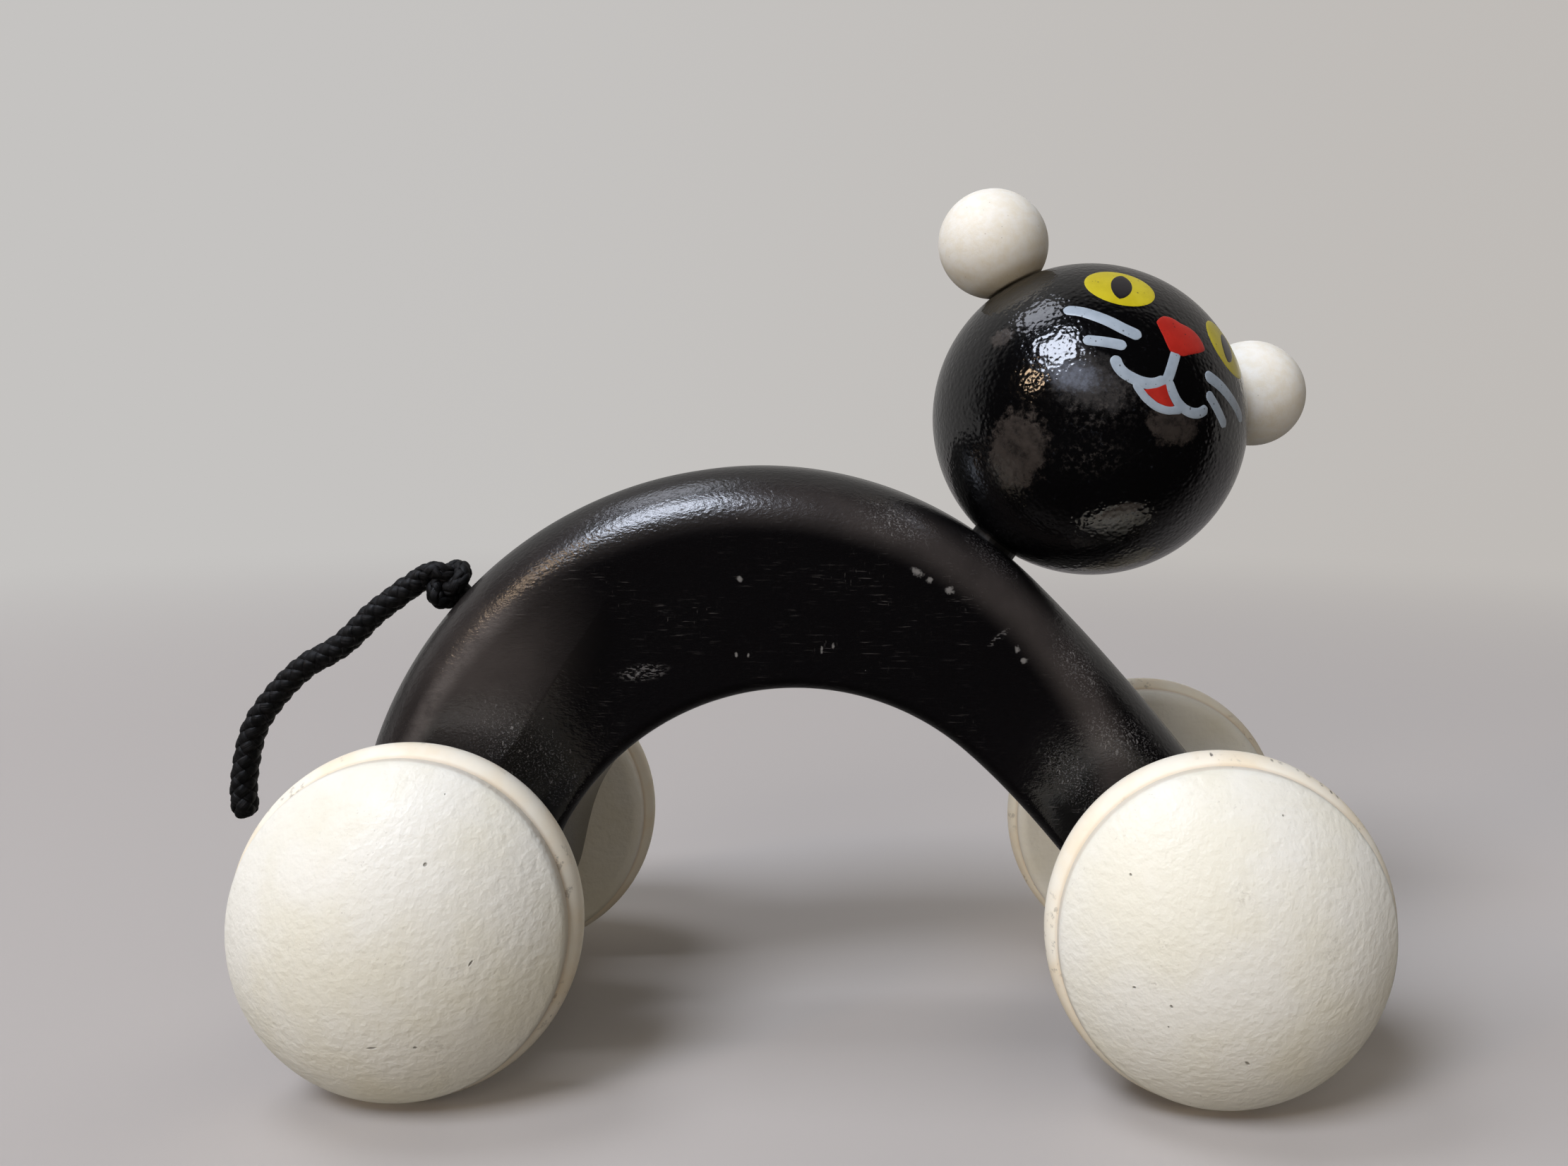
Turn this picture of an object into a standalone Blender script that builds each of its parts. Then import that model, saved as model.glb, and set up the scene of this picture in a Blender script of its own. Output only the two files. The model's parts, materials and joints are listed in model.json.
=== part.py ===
# Wooden cat pull toy: a board arched into a cat's back and legs, on four domed wheels
# with rubber ring tyres, a ball head that turns on its neck dowel, two ball ears and a
# braided cord tail that is knotted where it leaves the back.
#
# Lengths are in metres and angles in degrees. +Z is up and +X runs from tail to chest.
# The origin is on the floor, midway between the axles. The cat's left side is +Y.

import math

import bmesh
import bpy
from mathutils import Matrix, Vector

# Gaps between pieces
seat_gap = 0.0003          # between pieces that are glued, pressed or seated together
running_gap = 0.00008      # round a shaft that turns in its bore
side_play = 0.0004         # between a wheel's hub and the leg beside it
merge_distance = 0.000001

# Wheels and tyres
rim_radius = 0.0232
rim_half_width = 0.0036    # from the tyre's plane to where the rim starts to round off
rim_round = 0.0020
dome_rise = 0.0108         # from the edge of the rim to the middle of the dome
hub_radius = 0.0080
hub_length = 0.0061
hub_fillet = 0.0012
tyre_section = 0.0060
tyre_proud = 0.0014        # how far the tyre stands out of the rim
wheel_steps = 36
dome_steps = 6
groove_steps = 5
small_round_steps = 2
tyre_sides = 8

# Axles
wheelbase = 0.1134
axle_radius = 0.0020
axle_reach = 0.0060        # how far the rod runs past the tyre's plane, inside the dome
rod_chamfer = 0.0004
rod_steps = 24

# Body board
body_thickness = 0.0270
outer_round = 0.0100
inner_round = 0.0020
rounding_limit = 0.9       # the most of its wall or foot that a rounding may take
back_radius = 0.06255
back_ahead = 0.04626       # centre of the back's arc, ahead of the rear axle
back_above = 0.0007        # and above it
back_start = 161.7         # the back's arc runs from over the rear leg to the shoulder
back_end = 45.8
arch_radius = 0.0395
arch_ahead = 0.0531        # centre of the arch, ahead of the rear axle
arch_below = 0.0096        # and below it
arch_front = 49.9
arch_rear = 150.2
rear_foot_radius = 0.0153
rear_foot_outer = 180.0
rear_foot_inner = -12.0
front_foot_radius = 0.0121
front_foot_outer = 37.3
front_foot_inner = -139.8
back_steps = 20
arch_steps = 14
foot_steps = 10
leg_steps = 5
edge_steps = 5             # round the edge of the board, from its middle to its flat side
bore_steps = 24

# Head and neck
head_radius = 0.0250
neck_lean = 53.5           # the neck's axis above the horizontal
head_turn = -79.4          # how far the head is turned from straight ahead
face_lean = 8.8            # how far the face and ears are rolled to one side
neck_radius = 0.0040
neck_in_body = 0.0200
neck_in_head = 0.0160
dowel_chamfer = 0.0006
head_steps = 36
head_arc_steps = 16

# Ears
ear_radius = 0.0090
ear_seat_radius = 0.0048   # the flats by which ear and head meet
ear_spread = 53.0          # each ear's direction, out from the middle of the face
ear_back = 22.5            # and back from the top of the head
ear_dowel_radius = 0.0020
ear_dowel_in_head = 0.0080
ear_dowel_in_ear = 0.0070
ear_steps = 24
ear_arc_steps = 8

# Tail
cord_radius = 0.0021
knot_radius = 0.0042
knot_height = 0.0080
knot_at = 139.6            # where the tail leaves the back, as an angle of the back's arc
tail_in_body = 0.0120
knot_steps = 16
knot_arc_steps = 8
cord_step = 2.0            # points along the cord, in diameters
curve_steps = 10           # between two points of the route
# From the knot's middle, each point of the hanging cord as (ahead, up)
tail_route = [
    (-0.0051, -0.0005),
    (-0.0065, -0.0013),
    (-0.0080, -0.0025),
    (-0.0100, -0.0040),
    (-0.0119, -0.0056),
    (-0.0141, -0.0079),
    (-0.0164, -0.0101),
    (-0.0190, -0.0118),
    (-0.0217, -0.0133),
    (-0.0240, -0.0152),
    (-0.0261, -0.0174),
    (-0.0281, -0.0199),
    (-0.0298, -0.0225),
    (-0.0308, -0.0250),
    (-0.0314, -0.0277),
    (-0.0318, -0.0305),
    (-0.0320, -0.0333),
    (-0.0318, -0.0358),
    (-0.0312, -0.0380),
]

# Places that follow from the sizes
axle_height = rim_radius + tyre_proud
tyre_ring_radius = axle_height - tyre_section / 2
rear_axle_at = Vector((-wheelbase / 2, axle_height))
front_axle_at = Vector((wheelbase / 2, axle_height))
back_centre = rear_axle_at + Vector((back_ahead, back_above))
arch_centre = rear_axle_at + Vector((arch_ahead, -arch_below))
rim_back = rim_half_width + rim_round
wheel_offset = body_thickness / 2 + side_play + hub_length + rim_back
half_board = body_thickness / 2


def direction(angle):
    """The unit vector at an angle in a plane."""
    return Vector((math.cos(math.radians(angle)), math.sin(math.radians(angle))))


def in_side_plane(point, y=0.0):
    """A point of the side view, (ahead, up), as a point in space."""
    return Vector((point[0], y, point[1]))


def arc(centre, radius, start, end, steps):
    """Points on a circle from one angle to another."""
    turn = (end - start) / steps
    return [Vector(centre) + direction(start + turn * i) * radius for i in range(steps + 1)]


def material(name, colour, roughness, metallic=0.0):
    """A plain finish, its colour as red, green and blue from 0 to 1 in linear light."""
    made = bpy.data.materials.new(name)
    made.use_nodes = True
    shader = made.node_tree.nodes["Principled BSDF"]
    shader.inputs["Base Color"].default_value = (*colour, 1.0)
    shader.inputs["Roughness"].default_value = roughness
    shader.inputs["Metallic"].default_value = metallic
    made.diffuse_color = (*colour, 1.0)
    return made


def add_object(name, data, finish=None):
    """Puts a mesh or curve into the scene under its name."""
    made = bpy.data.objects.new(name, data)
    bpy.context.scene.collection.objects.link(made)
    if finish is not None:
        data.materials.append(finish)
    return made


def smooth_mesh(name, bm, sharp_angle=35.0):
    """Turns a bmesh into a mesh that is shaded smooth except at its sharp edges."""
    bmesh.ops.recalc_face_normals(bm, faces=bm.faces)
    mesh = bpy.data.meshes.new(name)
    bm.to_mesh(mesh)
    bm.free()
    mesh.shade_smooth()
    mesh.set_sharp_from_angle(angle=math.radians(sharp_angle))
    return mesh


def turned_mesh(name, profile, steps, closed=False):
    """A shape turned about Z from points given as (radius, height)."""
    bm = bmesh.new()
    verts = [bm.verts.new((radius, 0.0, height)) for radius, height in profile]
    edges = [bm.edges.new(pair) for pair in zip(verts, verts[1:])]
    if closed:
        edges.append(bm.edges.new((verts[-1], verts[0])))
    bmesh.ops.spin(
        bm,
        geom=verts + edges,
        cent=(0.0, 0.0, 0.0),
        axis=(0.0, 0.0, 1.0),
        angle=math.tau,
        steps=steps,
        use_merge=True,
    )
    bmesh.ops.remove_doubles(bm, verts=bm.verts, dist=merge_distance)
    return smooth_mesh(name, bm)


def rod_mesh(name, radius, low, high, chamfer, steps):
    """A round rod along Z with a small chamfer at each end."""
    profile = [
        (0.0, high),
        (radius - chamfer, high),
        (radius, high - chamfer),
        (radius, low + chamfer),
        (radius - chamfer, low),
        (0.0, low),
    ]
    return turned_mesh(name, profile, steps)


def bore_mesh(name, radius, low, high, steps):
    """A plain cylinder along Z, for cutting a bore."""
    profile = [(0.0, high), (radius, high), (radius, low), (0.0, low)]
    return turned_mesh(name, profile, steps)


def cut(target, name, mesh, matrix):
    """Takes a shape out of an object, and leaves the cutter out of the render."""
    cutter = add_object(name, mesh)
    cutter.matrix_world = matrix
    cutter.hide_render = True
    cutter.display_type = "WIRE"
    modifier = target.modifiers.new(name, "BOOLEAN")
    modifier.operation = "DIFFERENCE"
    modifier.solver = "EXACT"
    modifier.object = cutter


def along(axis, origin):
    """The matrix that puts local Z along an axis at a point in space."""
    turn = Vector((0.0, 0.0, 1.0)).rotation_difference(axis).to_matrix().to_4x4()
    return Matrix.Translation(origin) @ turn


# Body: the side outline, then the rounded board

def arc_edge(centre, radius, start, end, steps):
    """Stations on a round stretch of the outline: a point and the way out of the wood.
    The outline is followed clockwise, so a stretch that turns the other way is hollow."""
    side = 1.0 if end < start else -1.0
    turn = (end - start) / steps
    outward = [direction(start + turn * i) for i in range(steps + 1)]
    return [(centre + out * radius, out * side) for out in outward]


def leg_edge(first, last, steps):
    """Stations between two others, on a cubic curve that leaves and meets them in line."""
    start, start_out = first
    end, end_out = last
    reach = (end - start).length / 3
    first_handle = start + Vector((start_out.y, -start_out.x)) * reach
    last_handle = end - Vector((end_out.y, -end_out.x)) * reach
    found = []
    for i in range(1, steps):
        t = i / steps
        s = 1.0 - t
        point = (
            start * s ** 3
            + first_handle * (3 * s * s * t)
            + last_handle * (3 * s * t * t)
            + end * t ** 3
        )
        heading = (
            (first_handle - start) * (s * s)
            + (last_handle - first_handle) * (2 * s * t)
            + (end - last_handle) * (t * t)
        ).normalized()
        found.append((point, Vector((-heading.y, heading.x))))
    return found


def eased(share):
    """Runs from 0 to 1 with no sudden start or stop."""
    return (1.0 - math.cos(math.pi * share)) / 2


def body_outline():
    """The board's side outline, each station with the edge rounding that it has there."""
    outer = min(outer_round, rounding_limit * half_board, rounding_limit * front_foot_radius)
    inner = min(inner_round, rounding_limit * half_board)
    back = arc_edge(back_centre, back_radius, back_start, back_end, back_steps)
    front_foot = arc_edge(
        front_axle_at, front_foot_radius, front_foot_outer, front_foot_inner, foot_steps
    )
    arch = arc_edge(arch_centre, arch_radius, arch_front, arch_rear, arch_steps)
    rear_foot = arc_edge(
        rear_axle_at, rear_foot_radius, rear_foot_inner, rear_foot_outer - 360.0, foot_steps
    )
    stations = []

    def add(edge, first_round, last_round):
        last = max(len(edge) - 1, 1)
        for i, (point, out) in enumerate(edge):
            rounding = first_round + (last_round - first_round) * eased(i / last)
            stations.append((point, out, rounding))

    add(back, outer, outer)
    add(leg_edge(back[-1], front_foot[0], leg_steps), outer, outer)
    add(front_foot, outer, inner)
    add(leg_edge(front_foot[-1], arch[0], leg_steps), inner, inner)
    arch_from = len(stations)
    add(arch, inner, inner)
    arch_to = len(stations) - 1
    add(leg_edge(arch[-1], rear_foot[0], leg_steps), inner, inner)
    add(rear_foot, inner, outer)
    add(leg_edge(rear_foot[-1], back[0], leg_steps), outer, outer)
    shoulders = ((len(back) - 1, arch_from), (0, arch_to))
    return stations, shoulders


def body_ring(stations, side, share):
    """The outline at one step round the board's edge, from the edge to the flat side."""
    turn = math.radians(90.0 * share)
    ring = []
    for point, out, rounding in stations:
        inset = rounding * (1.0 - math.cos(turn))
        y = half_board - rounding + rounding * math.sin(turn)
        ring.append(in_side_plane(point - out * inset, side * y))
    return ring


def add_flat_side(bm, loop, shoulders):
    """Fills one side of the board: a face for each leg, and one for the back between."""
    (front_back, front_arch), (rear_back, rear_arch) = shoulders
    bm.faces.new(loop[front_back:front_arch + 1])
    bm.faces.new(loop[rear_arch:] + [loop[rear_back]])
    bm.faces.new(loop[rear_back:front_back + 1] + loop[front_arch:rear_arch + 1])


def add_body(finish):
    stations, shoulders = body_outline()
    shares = [i / edge_steps for i in range(edge_steps + 1)]
    rings = [body_ring(stations, -1.0, share) for share in reversed(shares)]
    rings += [body_ring(stations, 1.0, share) for share in shares]
    bm = bmesh.new()
    loops = [[bm.verts.new(place) for place in ring] for ring in rings]
    for low, high in zip(loops, loops[1:]):
        for i, vert in enumerate(low):
            bm.faces.new((low[i - 1], vert, high[i], high[i - 1]))
    add_flat_side(bm, loops[0], shoulders)
    add_flat_side(bm, loops[-1], shoulders)
    body = add_object("body", smooth_mesh("body", bm, 30.0), finish)

    reach = body_thickness
    axle_bore = bore_mesh("axle_bore", axle_radius + running_gap, -reach, reach, bore_steps)
    across = Vector((0.0, 1.0, 0.0))
    cut(body, "front_axle_bore", axle_bore, along(across, in_side_plane(front_axle_at)))
    cut(body, "rear_axle_bore", axle_bore, along(across, in_side_plane(rear_axle_at)))

    neck_bore = bore_mesh(
        "neck_bore",
        neck_radius + running_gap,
        -neck_in_body - seat_gap,
        neck_in_body,
        bore_steps,
    )
    cut(body, "neck_bore", neck_bore, on_back(neck_lean))
    tail_bore = bore_mesh(
        "tail_bore",
        cord_radius + seat_gap,
        -tail_in_body - seat_gap,
        tail_in_body,
        bore_steps,
    )
    cut(body, "tail_bore", tail_bore, on_back(knot_at))


def on_back(angle):
    """The matrix at a point of the back's arc, with Z square out of the board's edge."""
    out = direction(angle)
    place = back_centre + out * back_radius
    return along(in_side_plane(out), in_side_plane(place))


# Wheels, tyres and axles

def wheel_profile():
    """A wheel's profile from the middle of its dome to the end of its blind bore."""
    rim_centre = rim_radius - rim_round
    dome_radius = (rim_centre ** 2 + dome_rise ** 2 - rim_round ** 2) / (
        2 * (dome_rise - rim_round)
    )
    dome_centre = rim_half_width + dome_rise - dome_radius
    slope = math.degrees(math.atan2(rim_half_width - dome_centre, rim_centre))
    groove_radius = tyre_section / 2 + seat_gap
    lip = math.degrees(math.acos((rim_radius - tyre_ring_radius) / groove_radius))
    hub_end = -rim_back - hub_length
    bore_radius = axle_radius + seat_gap
    profile = arc((0.0, dome_centre), dome_radius, 90.0, slope, dome_steps)
    profile += arc((rim_centre, rim_half_width), rim_round, slope, 0.0, small_round_steps)[1:]
    profile += arc((tyre_ring_radius, 0.0), groove_radius, lip, 360.0 - lip, groove_steps)
    profile += arc((rim_centre, -rim_half_width), rim_round, 0.0, -90.0, small_round_steps)
    fillet_centre = (hub_radius + hub_fillet, -rim_back - hub_fillet)
    profile += arc(fillet_centre, hub_fillet, 90.0, 180.0, small_round_steps)
    profile += [
        Vector((hub_radius, hub_end)),
        Vector((bore_radius, hub_end)),
        Vector((bore_radius, axle_reach + seat_gap)),
        Vector((0.0, axle_reach + seat_gap)),
    ]
    return profile


def add_wheels(finish, tyre_finish, axle_finish):
    """Each axle with a pressed-on wheel and its tyre at both ends."""
    wheel_mesh = turned_mesh("wheel", wheel_profile(), wheel_steps)
    tyre_profile = arc((tyre_ring_radius, 0.0), tyre_section / 2, 0.0, 360.0, tyre_sides)[:-1]
    tyre_mesh = turned_mesh("tyre", tyre_profile, wheel_steps, closed=True)
    rod_end = wheel_offset + axle_reach
    axle_mesh = rod_mesh("axle", axle_radius, -rod_end, rod_end, rod_chamfer, rod_steps)
    wheel_mesh.materials.append(finish)
    tyre_mesh.materials.append(tyre_finish)
    axle_mesh.materials.append(axle_finish)
    for end, place in (("front", front_axle_at), ("rear", rear_axle_at)):
        axle = add_object(end + "_axle", axle_mesh)
        axle.matrix_world = along(Vector((0.0, 1.0, 0.0)), in_side_plane(place))
        for side, sign in (("left", 1.0), ("right", -1.0)):
            turn = Matrix.Rotation(math.radians(-90.0 * sign), 4, "X")
            spot = Matrix.Translation(in_side_plane(place, sign * wheel_offset))
            for kind, mesh in (("wheel", wheel_mesh), ("tyre", tyre_mesh)):
                made = add_object("_".join((kind, end, side)), mesh)
                made.matrix_world = spot @ turn


# Head, ears and their dowels

def add_head(finish, ear_finish, dowel_finish):
    """The ball head on its neck dowel, carried by an empty on the neck's axis."""
    seat = in_side_plane(back_centre + direction(neck_lean) * back_radius)
    neck_axis = in_side_plane(direction(neck_lean))
    centre = seat + neck_axis * (seat_gap + head_radius)
    pivot = add_object("head_pivot", None)
    pivot.matrix_world = (
        Matrix.Translation(centre)
        @ Matrix.Rotation(math.radians(90.0 - neck_lean), 4, "Y")
        @ Matrix.Rotation(math.radians(head_turn), 4, "Z")
    )

    def carry(obj, matrix):
        obj.parent = pivot
        obj.matrix_basis = matrix

    bore_radius = neck_radius + seat_gap
    mouth = -math.degrees(math.acos(bore_radius / head_radius))
    profile = arc((0.0, 0.0), head_radius, 90.0, mouth, head_arc_steps)
    bore_end = -head_radius + neck_in_head + seat_gap
    profile += [Vector((bore_radius, bore_end)), Vector((0.0, bore_end))]
    head = add_object("head", turned_mesh("head", profile, head_steps), finish)
    carry(head, Matrix.Identity(4))

    dowel_low = -head_radius - seat_gap - neck_in_body
    dowel_high = -head_radius + neck_in_head
    dowel = add_object(
        "neck_dowel",
        rod_mesh("neck_dowel", neck_radius, dowel_low, dowel_high, dowel_chamfer, rod_steps),
        dowel_finish,
    )
    carry(dowel, Matrix.Identity(4))

    head_flat = math.sqrt(head_radius ** 2 - ear_seat_radius ** 2)
    ear_flat = math.sqrt(ear_radius ** 2 - ear_seat_radius ** 2)
    ear_centre = head_flat + seat_gap + ear_flat
    pin_bore = ear_dowel_radius + seat_gap
    flat_angle = -math.degrees(math.acos(ear_seat_radius / ear_radius))
    ear_profile = arc((0.0, 0.0), ear_radius, 90.0, flat_angle, ear_arc_steps)
    ear_profile += [
        Vector((pin_bore, -ear_flat)),
        Vector((pin_bore, -ear_flat + ear_dowel_in_ear + seat_gap)),
        Vector((0.0, -ear_flat + ear_dowel_in_ear + seat_gap)),
    ]
    ear_mesh = turned_mesh("ear", ear_profile, ear_steps)
    pin_mesh = rod_mesh(
        "ear_dowel",
        ear_dowel_radius,
        head_flat - ear_dowel_in_head,
        head_flat + seat_gap + ear_dowel_in_ear,
        rod_chamfer,
        rod_steps,
    )
    seat_profile = [
        (0.0, head_radius + ear_seat_radius),
        (2 * ear_seat_radius, head_radius + ear_seat_radius),
        (2 * ear_seat_radius, head_flat),
        (pin_bore, head_flat),
        (pin_bore, head_flat - ear_dowel_in_head - seat_gap),
        (0.0, head_flat - ear_dowel_in_head - seat_gap),
    ]
    seat_mesh = turned_mesh("ear_seat", seat_profile, rod_steps)
    ear_mesh.materials.append(ear_finish)
    pin_mesh.materials.append(dowel_finish)
    face = Matrix.Rotation(math.radians(face_lean), 4, "X")
    for side, sign in (("left", 1.0), ("right", -1.0)):
        rise = math.cos(math.radians(ear_spread))
        axis = Vector((
            -math.sin(math.radians(ear_back)) * rise,
            sign * math.sin(math.radians(ear_spread)),
            math.cos(math.radians(ear_back)) * rise,
        ))
        out = face @ along(axis, (0.0, 0.0, 0.0))
        ear = add_object("ear_" + side, ear_mesh)
        carry(ear, out @ Matrix.Translation((0.0, 0.0, ear_centre)))
        pin = add_object("ear_dowel_" + side, pin_mesh)
        carry(pin, out)
        cut(head, "ear_seat_" + side, seat_mesh, pivot.matrix_world @ out)


# Tail

def route_curve(points, spacing):
    """Points at an even spacing on a smooth curve through the given ones."""
    ends = [points[0] * 2 - points[1]] + points + [points[-1] * 2 - points[-2]]
    fine = []
    for before, start, end, after in zip(ends, ends[1:], ends[2:], ends[3:]):
        for i in range(curve_steps):
            t = i / curve_steps
            fine.append(0.5 * (
                start * 2
                + (end - before) * t
                + (before * 2 - start * 5 + end * 4 - after) * t ** 2
                + (start * 3 - before - end * 3 + after) * t ** 3
            ))
    fine.append(points[-1])
    lengths = [0.0]
    for start, end in zip(fine, fine[1:]):
        lengths.append(lengths[-1] + (end - start).length)
    count = max(2, round(lengths[-1] / spacing))
    found = []
    for i in range(count + 1):
        reach = lengths[-1] * i / count
        j = next(k for k in range(1, len(fine)) if lengths[k] >= reach - merge_distance)
        share = (reach - lengths[j - 1]) / (lengths[j] - lengths[j - 1])
        found.append(fine[j - 1].lerp(fine[j], share))
    return found


def add_tail(knot_finish, cord_finish):
    """The knot with its glued stub, and the cord that hangs from it."""
    knot_middle = seat_gap + knot_height / 2
    neck_angle = -math.degrees(math.acos(cord_radius / knot_radius))
    profile = []
    for point in arc((0.0, 0.0), 1.0, 90.0, neck_angle, knot_arc_steps):
        profile.append((point.x * knot_radius, knot_middle + point.y * knot_height / 2))
    profile += [(cord_radius, -tail_in_body), (0.0, -tail_in_body)]
    knot = add_object("tail_knot", turned_mesh("tail_knot", profile, knot_steps), knot_finish)
    knot.matrix_world = on_back(knot_at)

    start = knot.matrix_world @ Vector((0.0, 0.0, knot_middle))
    route = [start + in_side_plane(point) for point in tail_route]
    curve = bpy.data.curves.new("tail_cord", "CURVE")
    curve.dimensions = "3D"
    curve.bevel_depth = cord_radius
    curve.bevel_resolution = 3
    curve.use_fill_caps = True
    spline = curve.splines.new("POLY")
    points = route_curve(route, cord_step * 2 * cord_radius)
    spline.points.add(len(points) - 1)
    for slot, place in zip(spline.points, points):
        slot.co = (*place, 1.0)
    add_object("tail_cord", curve, cord_finish)


def main():
    for old in list(bpy.data.objects):
        bpy.data.objects.remove(old)
    lacquer = material("body_lacquer", (0.012, 0.012, 0.012), 0.35)
    head_lacquer = material("head_lacquer", (0.010, 0.010, 0.010), 0.25)
    ear_paint = material("ear_paint", (0.80, 0.75, 0.62), 0.60)
    wheel_paint = material("wheel_paint", (0.82, 0.79, 0.72), 0.45)
    rubber = material("tyre_rubber", (0.86, 0.75, 0.58), 0.70)
    steel = material("axle_steel", (0.55, 0.55, 0.55), 0.30, 1.0)
    beech = material("dowel_beech", (0.55, 0.38, 0.22), 0.60)
    knot_cord = material("knot_cord", (0.015, 0.015, 0.016), 0.65)
    tail_cord = material("tail_braid", (0.015, 0.015, 0.016), 0.65)
    add_body(lacquer)
    add_wheels(wheel_paint, rubber, steel)
    add_head(head_lacquer, ear_paint, beech)
    add_tail(knot_cord, tail_cord)


main()
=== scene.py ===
# Wooden cat pull toy: the looks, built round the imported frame. Lengths are in metres.

import json
from math import acos, atan2, copysign, cos, degrees, hypot, pi, radians, sin, sqrt, tau

import bmesh
import bpy
from mathutils import Matrix, Vector

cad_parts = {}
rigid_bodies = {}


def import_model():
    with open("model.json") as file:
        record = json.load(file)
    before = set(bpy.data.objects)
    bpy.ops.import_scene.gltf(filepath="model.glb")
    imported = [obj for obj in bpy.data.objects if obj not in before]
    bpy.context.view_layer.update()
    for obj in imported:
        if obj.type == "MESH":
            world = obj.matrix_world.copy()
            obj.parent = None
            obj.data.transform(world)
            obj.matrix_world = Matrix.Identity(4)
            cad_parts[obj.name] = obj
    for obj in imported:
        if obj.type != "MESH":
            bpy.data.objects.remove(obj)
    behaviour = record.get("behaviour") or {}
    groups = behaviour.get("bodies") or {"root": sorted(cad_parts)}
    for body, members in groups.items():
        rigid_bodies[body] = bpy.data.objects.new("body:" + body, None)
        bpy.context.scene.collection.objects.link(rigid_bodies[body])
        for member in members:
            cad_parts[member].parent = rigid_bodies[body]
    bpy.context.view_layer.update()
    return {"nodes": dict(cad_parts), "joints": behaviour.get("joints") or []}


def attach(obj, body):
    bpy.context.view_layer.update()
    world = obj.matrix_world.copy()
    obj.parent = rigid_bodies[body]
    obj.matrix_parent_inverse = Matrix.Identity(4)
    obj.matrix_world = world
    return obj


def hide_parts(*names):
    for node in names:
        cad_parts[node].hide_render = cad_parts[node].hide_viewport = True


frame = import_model()
mm = 0.001
joints = {joint["name"]: joint for joint in frame["joints"]}
frontAxle = Vector(joints["front_axle_spin"]["pos_m"])
rearAxle = Vector(joints["rear_axle_spin"]["pos_m"])
headCentre = Vector(joints["head_swivel"]["pos_m"])
neckAxis = Vector(joints["head_swivel"]["axis"])
neckLean = degrees(atan2(neckAxis.z, neckAxis.x))
sides = (("left", 1.0), ("right", -1.0))
merging = 0.0005 * mm  # points closer than this are one
print("frame: loaded")


# Small helpers for points and curves

def heading(angle):  # the way of an angle in the side view, with x ahead and z up
    return Vector((cos(radians(angle)), 0.0, sin(radians(angle))))


def arcPoints(centre, radius, start, end, steps):  # (radius, height) pairs for a turned profile
    first, turn = radians(start), radians(end - start) / steps
    angles = [first + turn * i for i in range(steps + 1)]
    return [(centre[0] + radius * cos(a), centre[1] + radius * sin(a)) for a in angles]


def smoothPath(points, spacing):  # a smooth curve through the points, as many short steps
    points = [Vector(point) for point in points]
    ends = [points[0] * 2 - points[1]] + points + [points[-1] * 2 - points[-2]]
    path = []
    for before, start, end, after in zip(ends, ends[1:], ends[2:], ends[3:]):
        steps = max(1, round((end - start).length / spacing))
        for i in range(steps):
            t = i / steps
            path.append(0.5 * (
                start * 2
                + (end - before) * t
                + (before * 2 - start * 5 + end * 4 - after) * t ** 2
                + (start * 3 - before - end * 3 + after) * t ** 3
            ))
    return path + [points[-1]]


def pathLengths(path):  # the distance along a path at each of its points
    reached = [0.0]
    for start, end in zip(path, path[1:]):
        reached.append(reached[-1] + (end - start).length)
    return reached


def onward(path, i):  # the way that a path runs at one of its points
    return (path[min(i + 1, len(path) - 1)] - path[max(i - 1, 0)]).normalized()


def along(axis, origin):  # the matrix that puts local z along an axis at a point
    turn = Vector((0.0, 0.0, 1.0)).rotation_difference(Vector(axis)).to_matrix().to_4x4()
    return Matrix.Translation(origin) @ turn


def eased(share):  # 0 to 1 with no sudden start or stop
    return (1.0 - cos(pi * share)) / 2


# Small helpers for materials

def linear(channel):
    return channel / 12.92 if channel <= 0.04045 else ((channel + 0.055) / 1.055) ** 2.4


def colour(code):  # an sRGB hex colour as linear red, green, blue and alpha
    return (*[linear(int(code[i:i + 2], 16) / 255) for i in (1, 3, 5)], 1.0)


def every(size):  # a pattern's scale for a repeat of this many millimetres
    return 1.0 / (size * mm)


def setUp(node, inputs):  # settings, numbers, hex colours and links, each under the node's own name for it
    for name, value in inputs.items():
        if isinstance(name, str) and hasattr(node, name):
            setattr(node, name, value)
        elif isinstance(value, bpy.types.NodeSocket):
            node.id_data.links.new(value, node.inputs[name])
        else:
            node.inputs[name].default_value = colour(value) if isinstance(value, str) else value


def addNode(tree, kind, inputs=None):
    node = tree.nodes.new("ShaderNode" + kind)
    setUp(node, inputs or {})
    return node


def startMaterial(name):  # its shader, and the object coordinates that its patterns read
    made = bpy.data.materials.new(name)
    made.use_nodes = True
    tree = made.node_tree
    tree.nodes.clear()
    shader = addNode(tree, "BsdfPrincipled")
    addNode(tree, "OutputMaterial", {"Surface": shader.outputs["BSDF"]})
    return made, shader, addNode(tree, "TexCoord").outputs["Object"]


def spread(value, low, high, start=0.0, end=1.0):  # start below low, end above high
    return addNode(value.id_data, "MapRange", {
        "interpolation_type": "SMOOTHSTEP", "Value": value, "From Min": low, "From Max": high,
        "To Min": start, "To Max": end,
    }).outputs["Result"]


def combine(how, first, second):  # a sum, product or the like of a socket and a socket or number
    return addNode(first.id_data, "Math", {"operation": how, 0: first, 1: second}).outputs[0]


def only(pattern, where):  # a pattern thinned by where it lies, or by a number
    return combine("MULTIPLY", pattern, where)


def layer(share, below, above):  # one colour over another, each a hex colour or a socket
    return addNode(share.id_data, "Mix", {"data_type": "RGBA", 0: share, 6: below, 7: above}).outputs[2]


def worn(base, *marks):  # a colour with marks laid over it in turn, each as (where, strength, shade)
    for share, strength, shade in marks:
        base = layer(only(share, strength), base, shade)
    return base


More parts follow.
